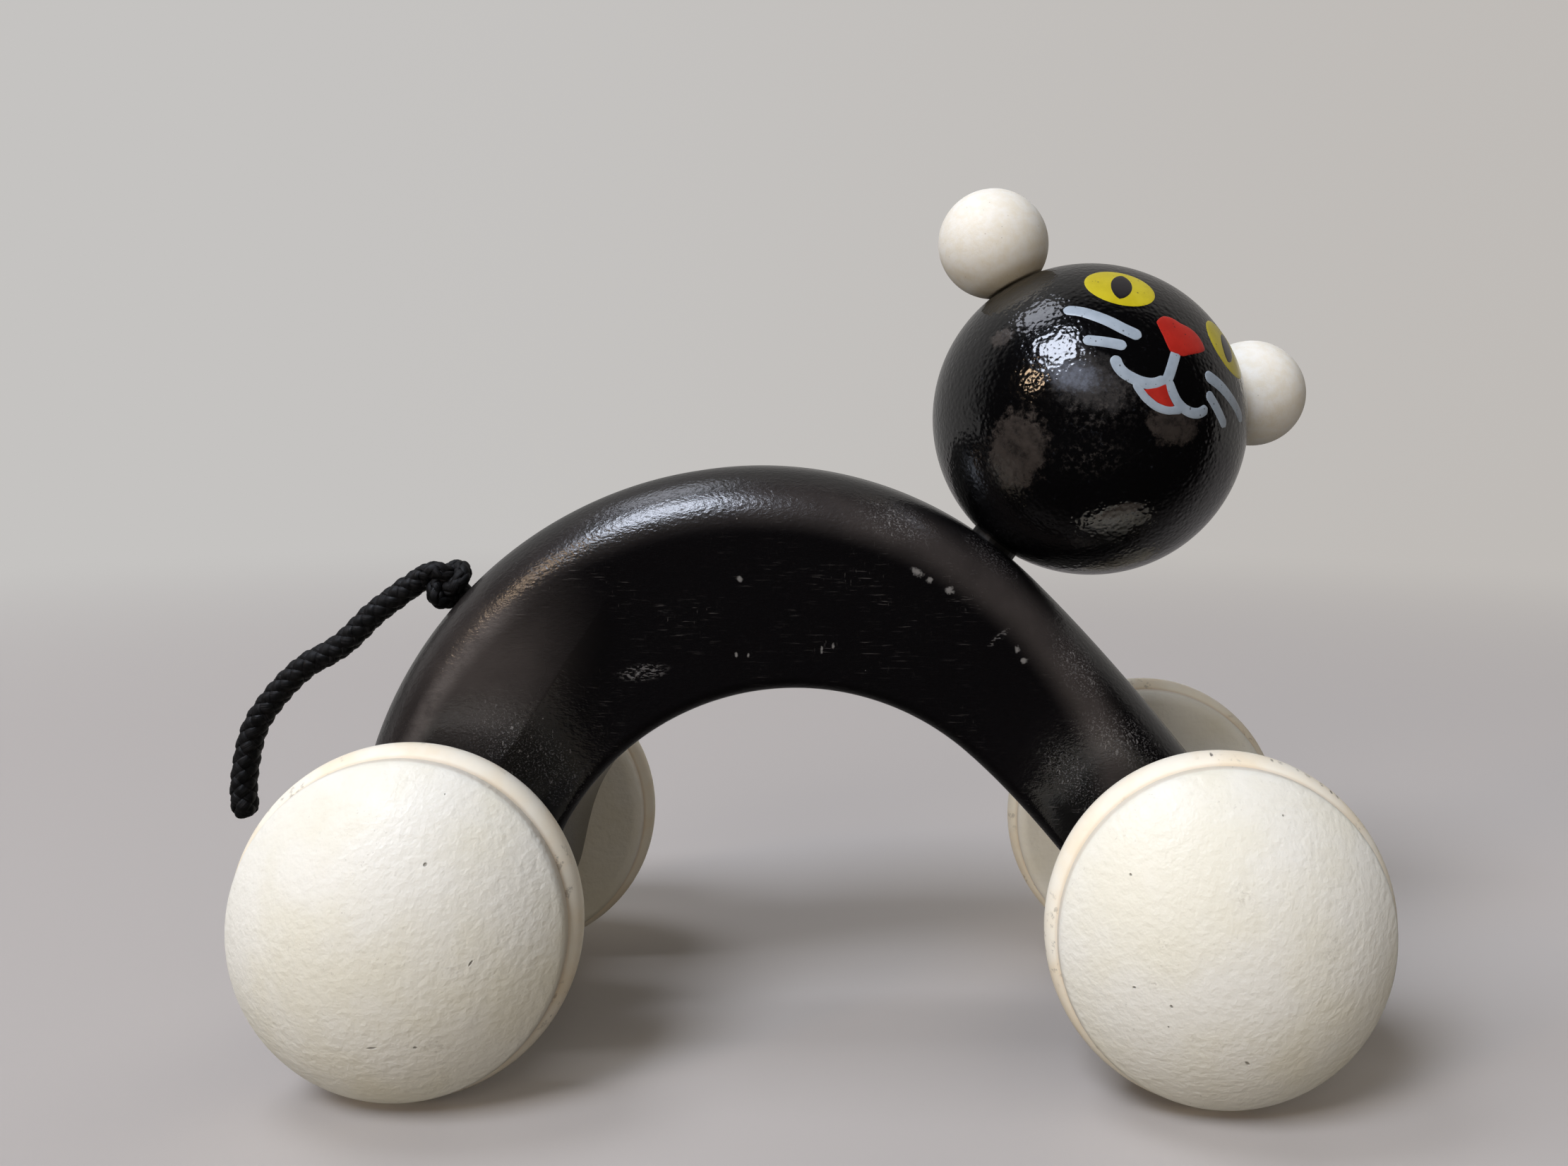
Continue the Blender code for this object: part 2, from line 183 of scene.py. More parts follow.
def stretched(place, scale=(1.0, 1.0, 1.0), turn=(0.0, 0.0, 0.0), middle=(0.0, 0.0, 0.0)):
    settings = {"Scale": scale, "Rotation": turn, "Location": middle, "Vector": place}
    return addNode(place.id_data, "Mapping", settings).outputs[0]


def mottle(place, size, detail=3.0, roughness=0.5):  # cloudy noise, size in mm
    settings = {"Scale": every(size), "Detail": detail, "Roughness": roughness, "Vector": place}
    return addNode(place.id_data, "TexNoise", settings).outputs["Fac"]


def streaked(place, scale, tilt, size, detail, roughness=0.5):  # cloudy noise drawn out one way
    return mottle(stretched(place, scale, (0.0, tilt, 0.0)), size, detail, roughness)


def flecks(place, apart, size, kept):  # separate spots of a size, one each so many mm, a share kept
    cells = addNode(place.id_data, "TexVoronoi", {"Scale": every(apart), "Vector": place})
    spot = spread(cells.outputs["Distance"], size / apart * 0.3, size / apart * 0.5, 1.0, 0.0)
    lot = addNode(place.id_data, "SeparateColor", {"Color": cells.outputs["Color"]}).outputs["Red"]
    return only(spot, combine("LESS_THAN", lot, kept))


def blot(place, middle, halves, turn=0.0, full=0.4):
    # A soft oval mark: 1 near its middle, 0 past its halves, both as (x, y, z) in mm, and
    # turned in the side view by an angle in degrees.
    moved = stretched(place, middle=[-value * mm for value in middle])
    turned = stretched(moved, turn=(0.0, radians(turn), 0.0))
    unit = stretched(turned, [every(half) for half in halves])
    away = addNode(place.id_data, "VectorMath", {"operation": "LENGTH", 0: unit})
    return spread(away.outputs["Value"], full, 1.0, 1.0, 0.0)


def blots(place, level, deep, full, rows):
    # Soft ovals at one level across the toy, each as (ahead, up, half length, half height, turn).
    return highest(*[blot(place, (x, level, z), (long, deep, high), turn, full)
                     for x, z, long, high, turn in rows])


def ragged(place, mark, size, low, high):
    # A soft mark's edge broken up by noise of a size in mm, so that it ends in islands and bays.
    rough = only(combine("SUBTRACT", mottle(place, size, 5.0, 0.7), 0.5), 1.6)
    return spread(combine("ADD", mark, rough), low, high)


def fromMiddle(place, middle):  # how far a point is from a middle in the side view
    flat = stretched(place, (1.0, 0.0, 1.0))
    settings = {"operation": "DISTANCE", 0: flat, 1: (middle[0], 0.0, middle[2])}
    return addNode(place.id_data, "VectorMath", settings).outputs["Value"]


def fromAxle(place):  # how far a point is from the nearer axle
    return combine("MINIMUM", *(fromMiddle(place, axle) for axle in (frontAxle, rearAxle)))


def highest(best, *values):  # the greatest of several sockets
    for value in values:
        best = combine("MAXIMUM", best, value)
    return best


def relief(height, depth):  # depth in mm for a height that runs from 0 to 1
    settings = {"Strength": 1.0, "Distance": depth * mm, "Height": height}
    return addNode(height.id_data, "Bump", settings).outputs["Normal"]


# Small helpers for pieces

def meshOf(name, bm):
    # The operators leave their parts in an order that changes from run to run, so each kind is
    # sorted first, by how far it lies along a way in which hardly two are level.
    way = Vector((1.0, 0.618, 0.2718))
    bm.verts.sort(key=lambda vert: vert.co.dot(way))
    bm.edges.sort(key=lambda edge: (edge.verts[0].co + edge.verts[1].co).dot(way))
    bm.faces.sort(key=lambda side: side.calc_center_median().dot(way))
    mesh = bpy.data.meshes.new(name)
    bm.to_mesh(mesh)
    bm.free()
    return mesh


def show(name, data):  # a new object in the scene
    shown = bpy.data.objects.new(name, data)
    bpy.context.scene.collection.objects.link(shown)
    return shown


def addPiece(name, bm, material, body, replaced=(), sharp=35.0):
    mesh = meshOf(name, bm)
    mesh.materials.append(material)
    mesh.shade_smooth()
    mesh.set_sharp_from_angle(angle=radians(sharp))
    piece = show(name, mesh)
    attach(piece, body)
    if replaced:
        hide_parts(*replaced)
    return piece


def turned(profile, steps, place, closed=False):
    # A shape spun about z from (radius, height) pairs, and set in its place by a matrix.
    bm = bmesh.new()
    verts = [bm.verts.new((radius, 0.0, height)) for radius, height in profile]
    edges = [bm.edges.new(pair) for pair in zip(verts, verts[1:])]
    if closed:
        edges.append(bm.edges.new((verts[-1], verts[0])))
    bmesh.ops.spin(bm, geom=verts + edges, cent=(0, 0, 0), axis=(0, 0, 1), angle=tau,
                   steps=steps, use_merge=True)
    bmesh.ops.remove_doubles(bm, verts=bm.verts, dist=merging)
    bmesh.ops.recalc_face_normals(bm, faces=bm.faces)
    bmesh.ops.transform(bm, matrix=place, verts=bm.verts)
    return bm


def sweepRows(bm, rows, closed=True):
    # Carries a row of points through space by extruding its edges. Each vertex keeps its number
    # in the row, and the row's number, for the piece's own map.
    order = bm.verts.layers.int.get("order") or bm.verts.layers.int.new("order")
    number = bm.verts.layers.int.get("row") or bm.verts.layers.int.new("row")
    line = [bm.verts.new(spot) for spot in rows[0]]
    for i, vert in enumerate(line):
        vert[order] = i
    edges = [bm.edges.new(pair) for pair in zip(line, line[1:])]
    if closed:
        edges.append(bm.edges.new((line[-1], line[0])))
    lines = [line]
    for row, spots in enumerate(rows[1:], 1):
        grown = bmesh.ops.extrude_edge_only(bm, edges=edges)["geom"]
        line = [item for item in grown if isinstance(item, bmesh.types.BMVert)]
        line.sort(key=lambda vert: vert[order])
        fresh = set(line)
        edges = [item for item in grown if isinstance(item, bmesh.types.BMEdge)
                 and item.verts[0] in fresh and item.verts[1] in fresh]
        for vert, spot in zip(line, spots):
            vert.co = spot
            vert[number] = row
        lines.append(line)
    return lines


def cutAway(piece, cutters):  # takes shapes, each a bmesh, out of a finished piece
    for bm in cutters:
        cutter = show("cutter", meshOf("cutter", bm))
        modifier = piece.modifiers.new("cut", "BOOLEAN")
        modifier.operation = "DIFFERENCE"
        modifier.solver = "EXACT"
        modifier.object = cutter
        seen = piece.evaluated_get(bpy.context.evaluated_depsgraph_get())
        shaped = bpy.data.meshes.new_from_object(seen)
        piece.modifiers.remove(modifier)
        plain, piece.data = piece.data, shaped
        bpy.data.meshes.remove(plain)
        bpy.data.objects.remove(cutter)
    piece.data.name = piece.name


# Camera: the place and turn that the photograph was taken from

cameraSet = {
    "place": (9.57 * mm, -194.06 * mm, 91.98 * mm),
    "yaw": 0.143,  # degrees, to the right
    "pitch": -0.785,  # degrees, down
    "roll": -0.584,
    "lens": 27.56,
    "sensor": 36.0,
    "shift": (-0.0681, -0.1008),
    "clip": (0.01, 30.0),
}


def addCamera():
    lens = bpy.data.cameras.new("camera")
    lens.lens = cameraSet["lens"]
    lens.sensor_width = cameraSet["sensor"]
    lens.sensor_fit = "HORIZONTAL"
    lens.shift_x, lens.shift_y = cameraSet["shift"]
    lens.clip_start, lens.clip_end = cameraSet["clip"]
    camera = show("camera", lens)
    yaw, pitch, roll = (radians(cameraSet[turn]) for turn in ("yaw", "pitch", "roll"))
    ahead = Vector((sin(yaw) * cos(pitch), cos(yaw) * cos(pitch), -sin(pitch)))
    right = Vector((cos(yaw), -sin(yaw), 0.0))
    down = ahead.cross(right)
    acrossFrame = right * cos(roll) + down * sin(roll)
    downFrame = down * cos(roll) - right * sin(roll)
    turn = Matrix((acrossFrame, -downFrame, -ahead)).transposed().to_4x4()
    camera.matrix_world = Matrix.Translation(cameraSet["place"]) @ turn
    bpy.context.scene.camera = camera


addCamera()
print("camera: placed")


# Body board: the same arcs as the solid, and how finely they are stepped here

board = {
    "thickness": 27.0 * mm,
    "outerRound": 10.0 * mm,
    "innerRound": 2.0 * mm,
    "backRadius": 62.55 * mm,
    "backFromAxle": (46.26 * mm, 0.7 * mm),  # ahead of the rear axle, and above it
    "backArc": (161.7, 45.8),
    "archRadius": 39.5 * mm,
    "archFromAxle": (53.1 * mm, -9.6 * mm),
    "archArc": (49.9, 150.2),
    "rearFootRadius": 15.3 * mm,
    "rearFootArc": (-12.0, -180.0),
    "frontFootRadius": 12.1 * mm,
    "frontFootArc": (37.3, -139.8),
    "backSteps": 90,
    "archSteps": 60,
    "footSteps": 36,
    "legSteps": 20,
    "edgeSteps": 12,
    "flatEdge": 0.5 * mm,  # a narrow ring inside the flat, so that the flat shades flat
    "axleBore": 2.08 * mm,
    "neckBore": 4.08 * mm,
    "neckDepth": 20.3 * mm,
    "tailBore": 2.4 * mm,
    "tailDepth": 12.3 * mm,
    "boreSteps": 48,
}
backCentre = rearAxle + Vector((board["backFromAxle"][0], 0.0, board["backFromAxle"][1]))
archCentre = rearAxle + Vector((board["archFromAxle"][0], 0.0, board["archFromAxle"][1]))


def onBack(angle):  # the matrix at a point of the back's arc, with z square out of the board's edge
    return along(heading(angle), backCentre + heading(angle) * board["backRadius"])


# Tail: a braid of eight flat strands over a core, knotted at the back and hanging free

tail = {
    "radius": 2.1 * mm,
    "knotRadius": 1.45 * mm,  # pulled tight, the braid is thinner in its knot
    "loosens": 4.0 * mm,  # the length over which it comes back to its full thickness
    "braidTurn": 9.6 * mm,  # along the braid, for one turn of a strand
    "strandsEachWay": 4,
    "phase": 20.0,
    "strandShare": 0.24,  # a strand's half thickness, against the braid's radius
    "strandWidth": 2.05,  # its width against its thickness
    "overUnder": 0.12,  # how far a strand rises and dips, against the braid's radius
    "coreShare": 0.62,
    "strandSides": 10,
    "step": 0.3 * mm,
    "sealed": 2.4 * mm,  # the length that closes in at the burnt end
    "endShare": 0.12,  # what is left of its thickness at the very end
    "knotAt": 139.6,  # round the back's arc, in degrees
    "knotMiddle": 4.3 * mm,  # out from the back
    "knotSize": 1.02 * mm,  # a third of the loops' reach
    "knotDepth": 1.25 * mm,
    "knotTurn": -120.0,
    "knotOpen": 0.5,  # how far from the cut lobe the two ends leave the loops, in radians
    "knotSteps": 26,
    # the stub comes out of the back and passes behind the loops: (ahead, up, to the left), in mm
    "stub": [(8.0, -6.8, 0.0), (5.6, -4.8, 0.0), (3.6, -3.1, 0.3), (1.9, -1.6, 2.3),
             (-0.6, -0.3, 3), (-2.2, 0.3, 2.4)],
    "leaving": [(-2.6, 1.75, -0.9), (-3.9, 0.7, -0.3)],
    # the hanging cord, from the knot's middle, as (ahead, up), in mm
    "route": [
        (-5.1, -0.5), (-6.5, -1.3), (-8, -2.5), (-10, -4), (-11.9, -5.6), (-14.1, -7.9),
        (-16.4, -10.1), (-19, -11.8), (-21.7, -13.3), (-24, -15.2), (-26.1, -17.4),
        (-28.1, -19.9), (-29.8, -22.5), (-30.8, -25), (-31.4, -27.7), (-31.8, -30.5),
        (-32, -33.3), (-31.8, -35.8), (-31.2, -38),
    ],
}
knotCentre = backCentre + heading(tail["knotAt"]) * (board["backRadius"] + tail["knotMiddle"])


def blackBraid():
    # Braided polyester cord, dyed black. Each strand is a bundle of fine straight filaments,
    # so it has a soft sheen along its length, and the gaps between the strands stay dark.
    made, shader, place = startMaterial("blackPolyesterBraid")
    strand = addNode(made.node_tree, "UVMap", {"uv_map": "strand"}).outputs["UV"]
    filaments = streaked(strand, (34 * mm, 4.5 * mm, 1.0), 0.0, 1.0, 2.0)
    fluff = mottle(place, 1.6)
    # The lighter streaks along the filaments are a painted sheen in the strands' colour.
    sheen = only(spread(filaments, 0.4, 0.72), spread(fluff, 0.35, 0.7))
    setUp(shader, {"Base Color": layer(sheen, "#050505", "#2B292A"), "Specular IOR Level": 0.35,
                   "Roughness": spread(fluff, 0.3, 0.7, 0.5, 0.72), "Normal": relief(filaments, 0.07)})
    return made


def braidFrames(path):  # a point and two square directions at each step, turned as little as can be
    frames = []
    side = Vector((0.0, 1.0, 0.0))
    for i, point in enumerate(path):
        ahead = onward(path, i)
        side = (side - ahead * side.dot(ahead)).normalized()
        frames.append((point, side, ahead.cross(side)))
    return frames


def ringRound(middle, out, across, half):  # the section of a strand or of the core
    turns = [tau * i / tail["strandSides"] for i in range(tail["strandSides"])]
    return [middle + (out * cos(turn) + across * sin(turn)) * half for turn in turns]


def strandRings(frames, lengths, radii, way, start):
    # The strands wind both ways and pass over and under each other in turn.
    level = 1.0 - tail["strandShare"] - tail["overUnder"]
    centres = []
    for (point, side, up), reached, radius in zip(frames, lengths, radii):
        turn = tau * reached / tail["braidTurn"]
        angle = way * turn + start + radians(tail["phase"])
        lift = level + way * tail["overUnder"] * cos(tail["strandsEachWay"] * turn)
        centres.append(point + (side * cos(angle) + up * sin(angle)) * (radius * lift))
    rings = []
    for i, centre in enumerate(centres):
        ahead = onward(centres, i)
        out = centre - frames[i][0]
        out = (out - ahead * out.dot(ahead)).normalized()
        across = ahead.cross(out) * tail["strandWidth"]
        rings.append(ringRound(centre, out, across, radii[i] * tail["strandShare"]))
    return rings


def braid(frames, lengths, radii):
    bm = bmesh.new()
    uv = bm.loops.layers.uv.new("strand")
    starts = [tau * i / tail["strandsEachWay"] for i in range(tail["strandsEachWay"])]
    tubes = [strandRings(frames, lengths, radii, way, start) for way in (1.0, -1.0) for start in starts]
    tubes.append([ringRound(*spot, radius * tail["coreShare"]) for spot, radius in zip(frames, radii)])
    for rings in tubes:
        lines = sweepRows(bm, rings)
        bm.faces.new(lines[0])
        bm.faces.new(lines[-1])
    order = bm.verts.layers.int["order"]
    row = bm.verts.layers.int["row"]
    for face in bm.faces:
        places = [corner.vert[order] for corner in face.loops]
        closing = max(places) - min(places) > 1
        for corner, place in zip(face.loops, places):
            u = (tail["strandSides"] if closing and place == 0 else place) / tail["strandSides"]
            corner[uv].uv = (u, corner.vert[row] * tail["step"] / tail["braidTurn"])
    bmesh.ops.recalc_face_normals(bm, faces=bm.faces)
    return bm


def fromKnot(ahead, up, left=0.0):  # a spot from its place in mm about the knot's middle
    return knotCentre + Vector((ahead, left, up)) * mm


def knotPath():  # the stub, three loops that pass over and under, and the way out to the tail
    turn = Matrix.Rotation(radians(-tail["knotTurn"]), 3, "Y")
    first = pi + tail["knotOpen"]
    last = 3 * pi - tail["knotOpen"]
    loops = []
    for i in range(tail["knotSteps"] + 1):
        t = first + (last - first) * i / tail["knotSteps"]
        loops.append(knotCentre + turn @ Vector((
            (sin(t) + 2 * sin(2 * t)) * tail["knotSize"],
            -sin(3 * t) * tail["knotDepth"],
            (cos(t) - 2 * cos(2 * t)) * tail["knotSize"],
        )))
    stub, leaving = ([fromKnot(*spot) for spot in tail[part]] for part in ("stub", "leaving"))
    return stub + loops + leaving


def addTail():
    material = blackBraid()
    route = [fromKnot(*spot) for spot in tail["route"]]
    hanging = smoothPath(route, tail["step"])
    tied = smoothPath(knotPath() + route[:1], tail["step"])[:-1]
    split = len(tied)
    frames = braidFrames(tied + hanging)
    lengths = pathLengths(tied + hanging)
    radii = []
    for reached in lengths:
        tight = min(1.0, max(0.0, (lengths[split] - reached) / tail["loosens"]))
        radius = tail["radius"] + (tail["knotRadius"] - tail["radius"]) * eased(tight)
        toEnd = min(1.0, (lengths[-1] - reached) / tail["sealed"])
        closing = sqrt(1.0 - (1.0 - toEnd) ** 2)
        radii.append(radius * (tail["endShare"] + (1.0 - tail["endShare"]) * closing))
    knot = braid(frames[:split + 1], lengths[:split + 1], radii[:split + 1])
    addPiece("tailKnot", knot, material, "chassis", ["tail_knot"], sharp=60.0)
    cord = braid(frames[split:], lengths[split:], radii[split:])
    piece = addPiece("tailCord", cord, material, "chassis", ["tail_cord"], sharp=60.0)
    print("tail:", round((lengths[-1] - lengths[split]) / mm, 1), "mm of cord")


addTail()


# Stage: a pale floor and backdrop in a room whose near side is dim, a large window-like lamp,
# soft light from above, a small warm lamp, and soft fills from the front, the side and the back

stage = {
    "radius": 9.0,
    "steps": 96,
    "paper": "#C2BBB4",  # the floor's paper as the eye sees it
    "bounce": "#67625C",  # and how much light it throws back up on the toy
    # The backdrop is a little darker to the right, a painted shade.
    "backdrop": ("#C5C3C1", "#BFBBB7"),  # far to the left and to the right
    "backdropEdges": (-0.5, 0.6),
    "fade": (0.25, 0.90),  # the floor goes over into the backdrop between these distances
    "room": "#14100E",  # what a gloss sees on the camera's side
    "paleInGloss": 0.6,  # how much of the pale stage it sees behind the toy
    "skyColour": "#F6F4F4",
    "skyStrength": 0.15,
}
lamps = {  # each one's way from the toy, distance, size, power, colour, and whether a gloss shows it
    "window": ((-0.39, -0.50, 0.77), 4.0, (1.55, 1.4), 105.0, "#E6EEFF", True),
    "overhead": ((-0.40, 0.05, 0.91), 4.2, (1.5, 1.3), 22.0, "#EDF2FF", True),
    "above": ((-0.40, 0.05, 0.91), 4.1, (1.5, 1.3), 21.0, "#EDF2FF", False),
    "warm": ((-0.69, -0.57, 0.45), 3.6, (0.5, 0.4), 9.0, "#FFDDB8", True),
    "fill": ((-0.48, -0.86, 0.16), 3.5, (2.0, 2.0), 48.0, "#FFF8F0", False),
    "side": ((0.55, -0.80, 0.22), 3.5, (1.5, 1.5), 9.0, "#FFEEDC", False),
    "back": ((0.30, 0.88, 0.36), 3.8, (1.8, 1.6), 30.0, "#F4F1EC", False),
}


def stageShown(ahead):
    # The flags of the rays that show the stage itself, and its near side. To a gloss it is pale
    # only behind the toy, where "ahead" is 1, and the dim room in front.
    rays = addNode(ahead.id_data, "LightPath").outputs
    flags = highest(rays["Is Camera Ray"], rays["Is Glossy Ray"], rays["Is Transmission Ray"])
    return flags, combine("SUBTRACT", rays["Is Glossy Ray"], ahead)


def backdropColour(across, nearSide):
    pale = layer(spread(across, *stage["backdropEdges"]), *stage["backdrop"])
    return layer(nearSide, pale, stage["room"])


def mattPaper():
    # Heavy matt paper, pale grey, with no gloss at all. Far off it glows evenly as the backdrop; a
    # gloss sees it pale only behind the toy and as a dim room in front, and it throws a darker
    # grey light back up on the toy.
    made, shader, place = startMaterial("mattPaper")
    tree = made.node_tree
    ahead = addNode(tree, "SeparateXYZ", {0: place}).outputs["Y"]
    flags, nearSide = stageShown(spread(ahead, -0.05, 0.06, 0.0, stage["paleInGloss"]))
    seen = layer(nearSide, stage["paper"], stage["room"])
    setUp(shader, {"Base Color": layer(flags, stage["bounce"], seen), "Roughness": 0.95,
                   "Specular IOR Level": 0.1})
    away = addNode(tree, "VectorMath", {"operation": "LENGTH", 0: place}).outputs["Value"]
    far = only(spread(away, *stage["fade"]), flags)
    way = addNode(tree, "VectorMath", {"operation": "NORMALIZE", 0: place}).outputs[0]
    across = addNode(tree, "SeparateXYZ", {0: way}).outputs["X"]
    glow = addNode(tree, "Emission", {"Color": backdropColour(across, nearSide)}).outputs[0]
    mixed = addNode(tree, "MixShader", {0: far, 1: shader.outputs["BSDF"], 2: glow})
    setUp(tree.nodes["Material Output"], {"Surface": mixed.outputs[0]})
    return made


def addSky():
    world = bpy.data.worlds.new("sky")
    bpy.context.scene.world = world
    world.use_nodes = True
    tree = world.node_tree
    sky = tree.nodes["Background"]
    setUp(sky, {"Color": stage["skyColour"], "Strength": stage["skyStrength"]})
    way = addNode(tree, "SeparateXYZ", {0: addNode(tree, "TexCoord").outputs["Generated"]}).outputs
    flags, nearSide = stageShown(spread(way["Y"], -0.15, 0.35, 0.0, stage["paleInGloss"]))
    shown = addNode(tree, "Background", {"Color": backdropColour(way["X"], nearSide)})
    mixed = addNode(tree, "MixShader", {0: flags, 1: sky.outputs[0], 2: shown.outputs[0]})
    setUp(tree.nodes["World Output"], {"Surface": mixed.outputs[0]})


def addStage():
    bm = bmesh.new()
    bmesh.ops.create_circle(bm, cap_ends=True, segments=stage["steps"], radius=stage["radius"])
    floor = show("floor", meshOf("floor", bm))
    floor.data.materials.append(mattPaper())
    for name, (toward, away, size, power, shade, inGloss) in lamps.items():
        lamp = bpy.data.lights.new(name, "AREA")
        lamp.shape = "RECTANGLE"
        lamp.size, lamp.size_y = size
        lamp.energy = power
        lamp.color = colour(shade)[:3]
        hung = show(name, lamp)
        hung.visible_glossy = inGloss
        toward = Vector(toward).normalized()
        hung.matrix_world = along(toward, toward * away)
    addSky()
    bpy.context.scene.view_settings.view_transform = "Standard"


addStage()
print("stage: set")


# Body

def blackLacquer():
    # Nitrocellulose lacquer, brushed on beech: a half gloss that short brush ripples break up.
    # Handling has left brown haze, dust by the wheels, smears, specks and short scratches. A
    # brown-grey band along the back's rounding is haze and also a painted reflection, and a
    # paler streak along the rear of the rounding is a painted highlight.
    made, shader, place = startMaterial("blackBrushedLacquer")
    side = -board["thickness"] / 2 / mm
    smears = blots(place, side, 2.0, 0.4, ((-26.7, 57.0, 4.6, 1.6, 8.0), (26.6, 62.7, 2.6, 0.6, 40.0)))
    chips = blots(place, side, 3.0, 0.0, (
        (14.2, 72.4, 2.4, 1.4, -30), (16, 71.2, 1.2, 1.2, 0), (19.2, 69.6, 1.5, 1.5, 0),
        (-12.5, 71.1, 1.2, 0.9, -50), (30.4, 59.3, 1.3, 1.1, 0), (29.3, 61, 1, 1.2, 0),
        (-12.8, 59.7, 0.6, 1, 0), (-11, 59.7, 0.6, 0.9, 0),
        (0, 60.6, 0.5, 1.4, 0), (1.7, 61.2, 0.5, 0.9, 0),
    ))
    busy = blots(place, side, 3.0, 0.2, (
        (-21, 65.5, 9, 4.5, 15), (3.4, 71.4, 9, 4, 0), (12, 66, 8, 4, -20),
        (-0.5, 61.5, 5, 3, 0),
    ))
    dusty = blots(place, side, 13.0, 0.0, (
        (45.5, 47.5, 10, 5, -30), (38, 42, 9, 5, -50), (-44.5, 44.5, 15, 8, -35),
        (11, 80, 9, 4, -20), (26, 75, 9, 3, -42), (39, 58, 9, 4, -55),
    ))
    smeared = only(spread(streaked(place, (0.35, 1.0, 1.0), 1.2, 0.30, 2.0, 0.6), 0.48, 0.64), smears)
    chipped = ragged(place, chips, 0.6, 0.5, 0.95)
    dust = only(spread(streaked(place, (0.8, 1.0, 1.0), 0.6, 0.27, 3.0, 0.7), 0.52, 0.64), dusty)
    grains = only(spread(streaked(place, (1.0, 1.0, 0.5), 0.4, 0.5, 3.0, 0.7), 0.59, 0.68), dusty)
    level = streaked(place, (0.07, 1.0, 1.0), 0.05, 0.26, 2.0, 0.6)
    upright = only(streaked(place, (1.0, 1.0, 0.16), 0.10, 0.26, 2.0, 0.6), 0.93)
    patchy = only(spread(mottle(place, 11.0, 4.0), 0.46, 0.66), 0.6)
    scratches = only(spread(highest(level, upright), 0.60, 0.72), highest(busy, patchy))
    specks = flecks(place, 2.2, 0.26, 0.12)
    ahead = addNode(made.node_tree, "SeparateXYZ", {0: place}).outputs["X"]
    fromEdge = combine("SUBTRACT", fromMiddle(place, backCentre), board["backRadius"])
    # Distances from two lines inside the back's edge: one for the band of haze and painted reflection, one
    # for the painted highlight streak.
    toBand, toStreak = (combine("ABSOLUTE", combine("ADD", fromEdge, inside * mm), 0.0)
                     for inside in (5.0, 7.6))
    # The band along the back's rounding is brown haze and also a painted reflection.
    hazeAndReflectionBand = spread(toBand, 0.5 * mm, 5 * mm, 1.0, 0.0)
    # A paler streak along the rear of the back's rounding is a painted highlight.
    rubbedAndHighlightStreak = only(spread(toStreak, 0.2 * mm, 2.4 * mm, 1.0, 0.0), spread(ahead, -52 * mm, -42 * mm, 1.0, 0.0))
    rubbedAndHighlightStreak = only(rubbedAndHighlightStreak, spread(mottle(place, 3.0, 4.0, 0.7), 0.3, 0.6, 0.5, 1.0))
    # Brown haze on the rear leg, and the band along the rounding that is also a painted reflection.
    brownHazeAndReflection = highest(blot(place, (-51.5, side, 57.5), (25.0, 30.0, 17.0), 55.0, 0.0),
                    only(hazeAndReflectionBand, spread(ahead, -40.0 * mm, 22.0 * mm, 0.5, 0.8)))
    hazeAndPaintedReflection = only(brownHazeAndReflection, spread(mottle(place, 8.0, 2.0), 0.1, 0.9, 0.5, 1.0))
    # Over the black: brown haze that is also a painted reflection, then the painted highlight streak
    # (#6E6763), scratches, dust, smears, chips and specks.
    base = worn(layer(hazeAndPaintedReflection, "#090809", "#48423F"), (rubbedAndHighlightStreak, 0.45, "#6E6763"), (scratches, 0.4, "#6A6562"),
                (dust, 0.5, "#827F7D"), (smeared, 0.4, "#8A8683"), (chipped, 0.6, "#94918D"),
                (specks, 0.5, "#9A9794"), (grains, 0.6, "#A8A5A2"))
    dull = highest(dust, smeared, only(hazeAndPaintedReflection, 0.24))
    ripples = combine("ADD", streaked(place, (0.6, 1.0, 1.0), -0.3, 0.55, 2.5, 0.6), only(dull, 0.2))
    setUp(shader, {"Base Color": base, "Roughness": spread(dull, 0.0, 1.0, 0.22, 0.5),
                   "Specular IOR Level": 0.8, "Normal": relief(ripples, 0.09)})
    return made


def arcEdge(centre, radius, angles, steps):
    # Stations on a round stretch of the outline: a point and the way out of the wood. The
    # outline is followed clockwise, so a stretch that turns the other way is hollow.
    start, end = angles
    side = 1.0 if end < start else -1.0
    ways = [heading(start + (end - start) * i / steps) for i in range(steps + 1)]
    return [(centre + way * radius, way * side) for way in ways]


def legEdge(first, last, steps):  # stations on a cubic curve that leaves and meets the arcs in line
    start, startOut = first
    end, endOut = last
    reach = (end - start).length / 3
    startHandle = start + Vector((startOut.z, 0.0, -startOut.x)) * reach
    endHandle = end - Vector((endOut.z, 0.0, -endOut.x)) * reach
    stations = []
    for i in range(1, steps):
        t = i / steps
        s = 1.0 - t
        spot = start * s ** 3 + startHandle * (3 * s * s * t) + endHandle * (3 * s * t * t) + end * t ** 3
        way = (startHandle - start) * (s * s) + (endHandle - startHandle) * (2 * s * t)
        way = (way + (end - endHandle) * (t * t)).normalized()
        stations.append((spot, Vector((-way.z, 0.0, way.x))))
    return stations


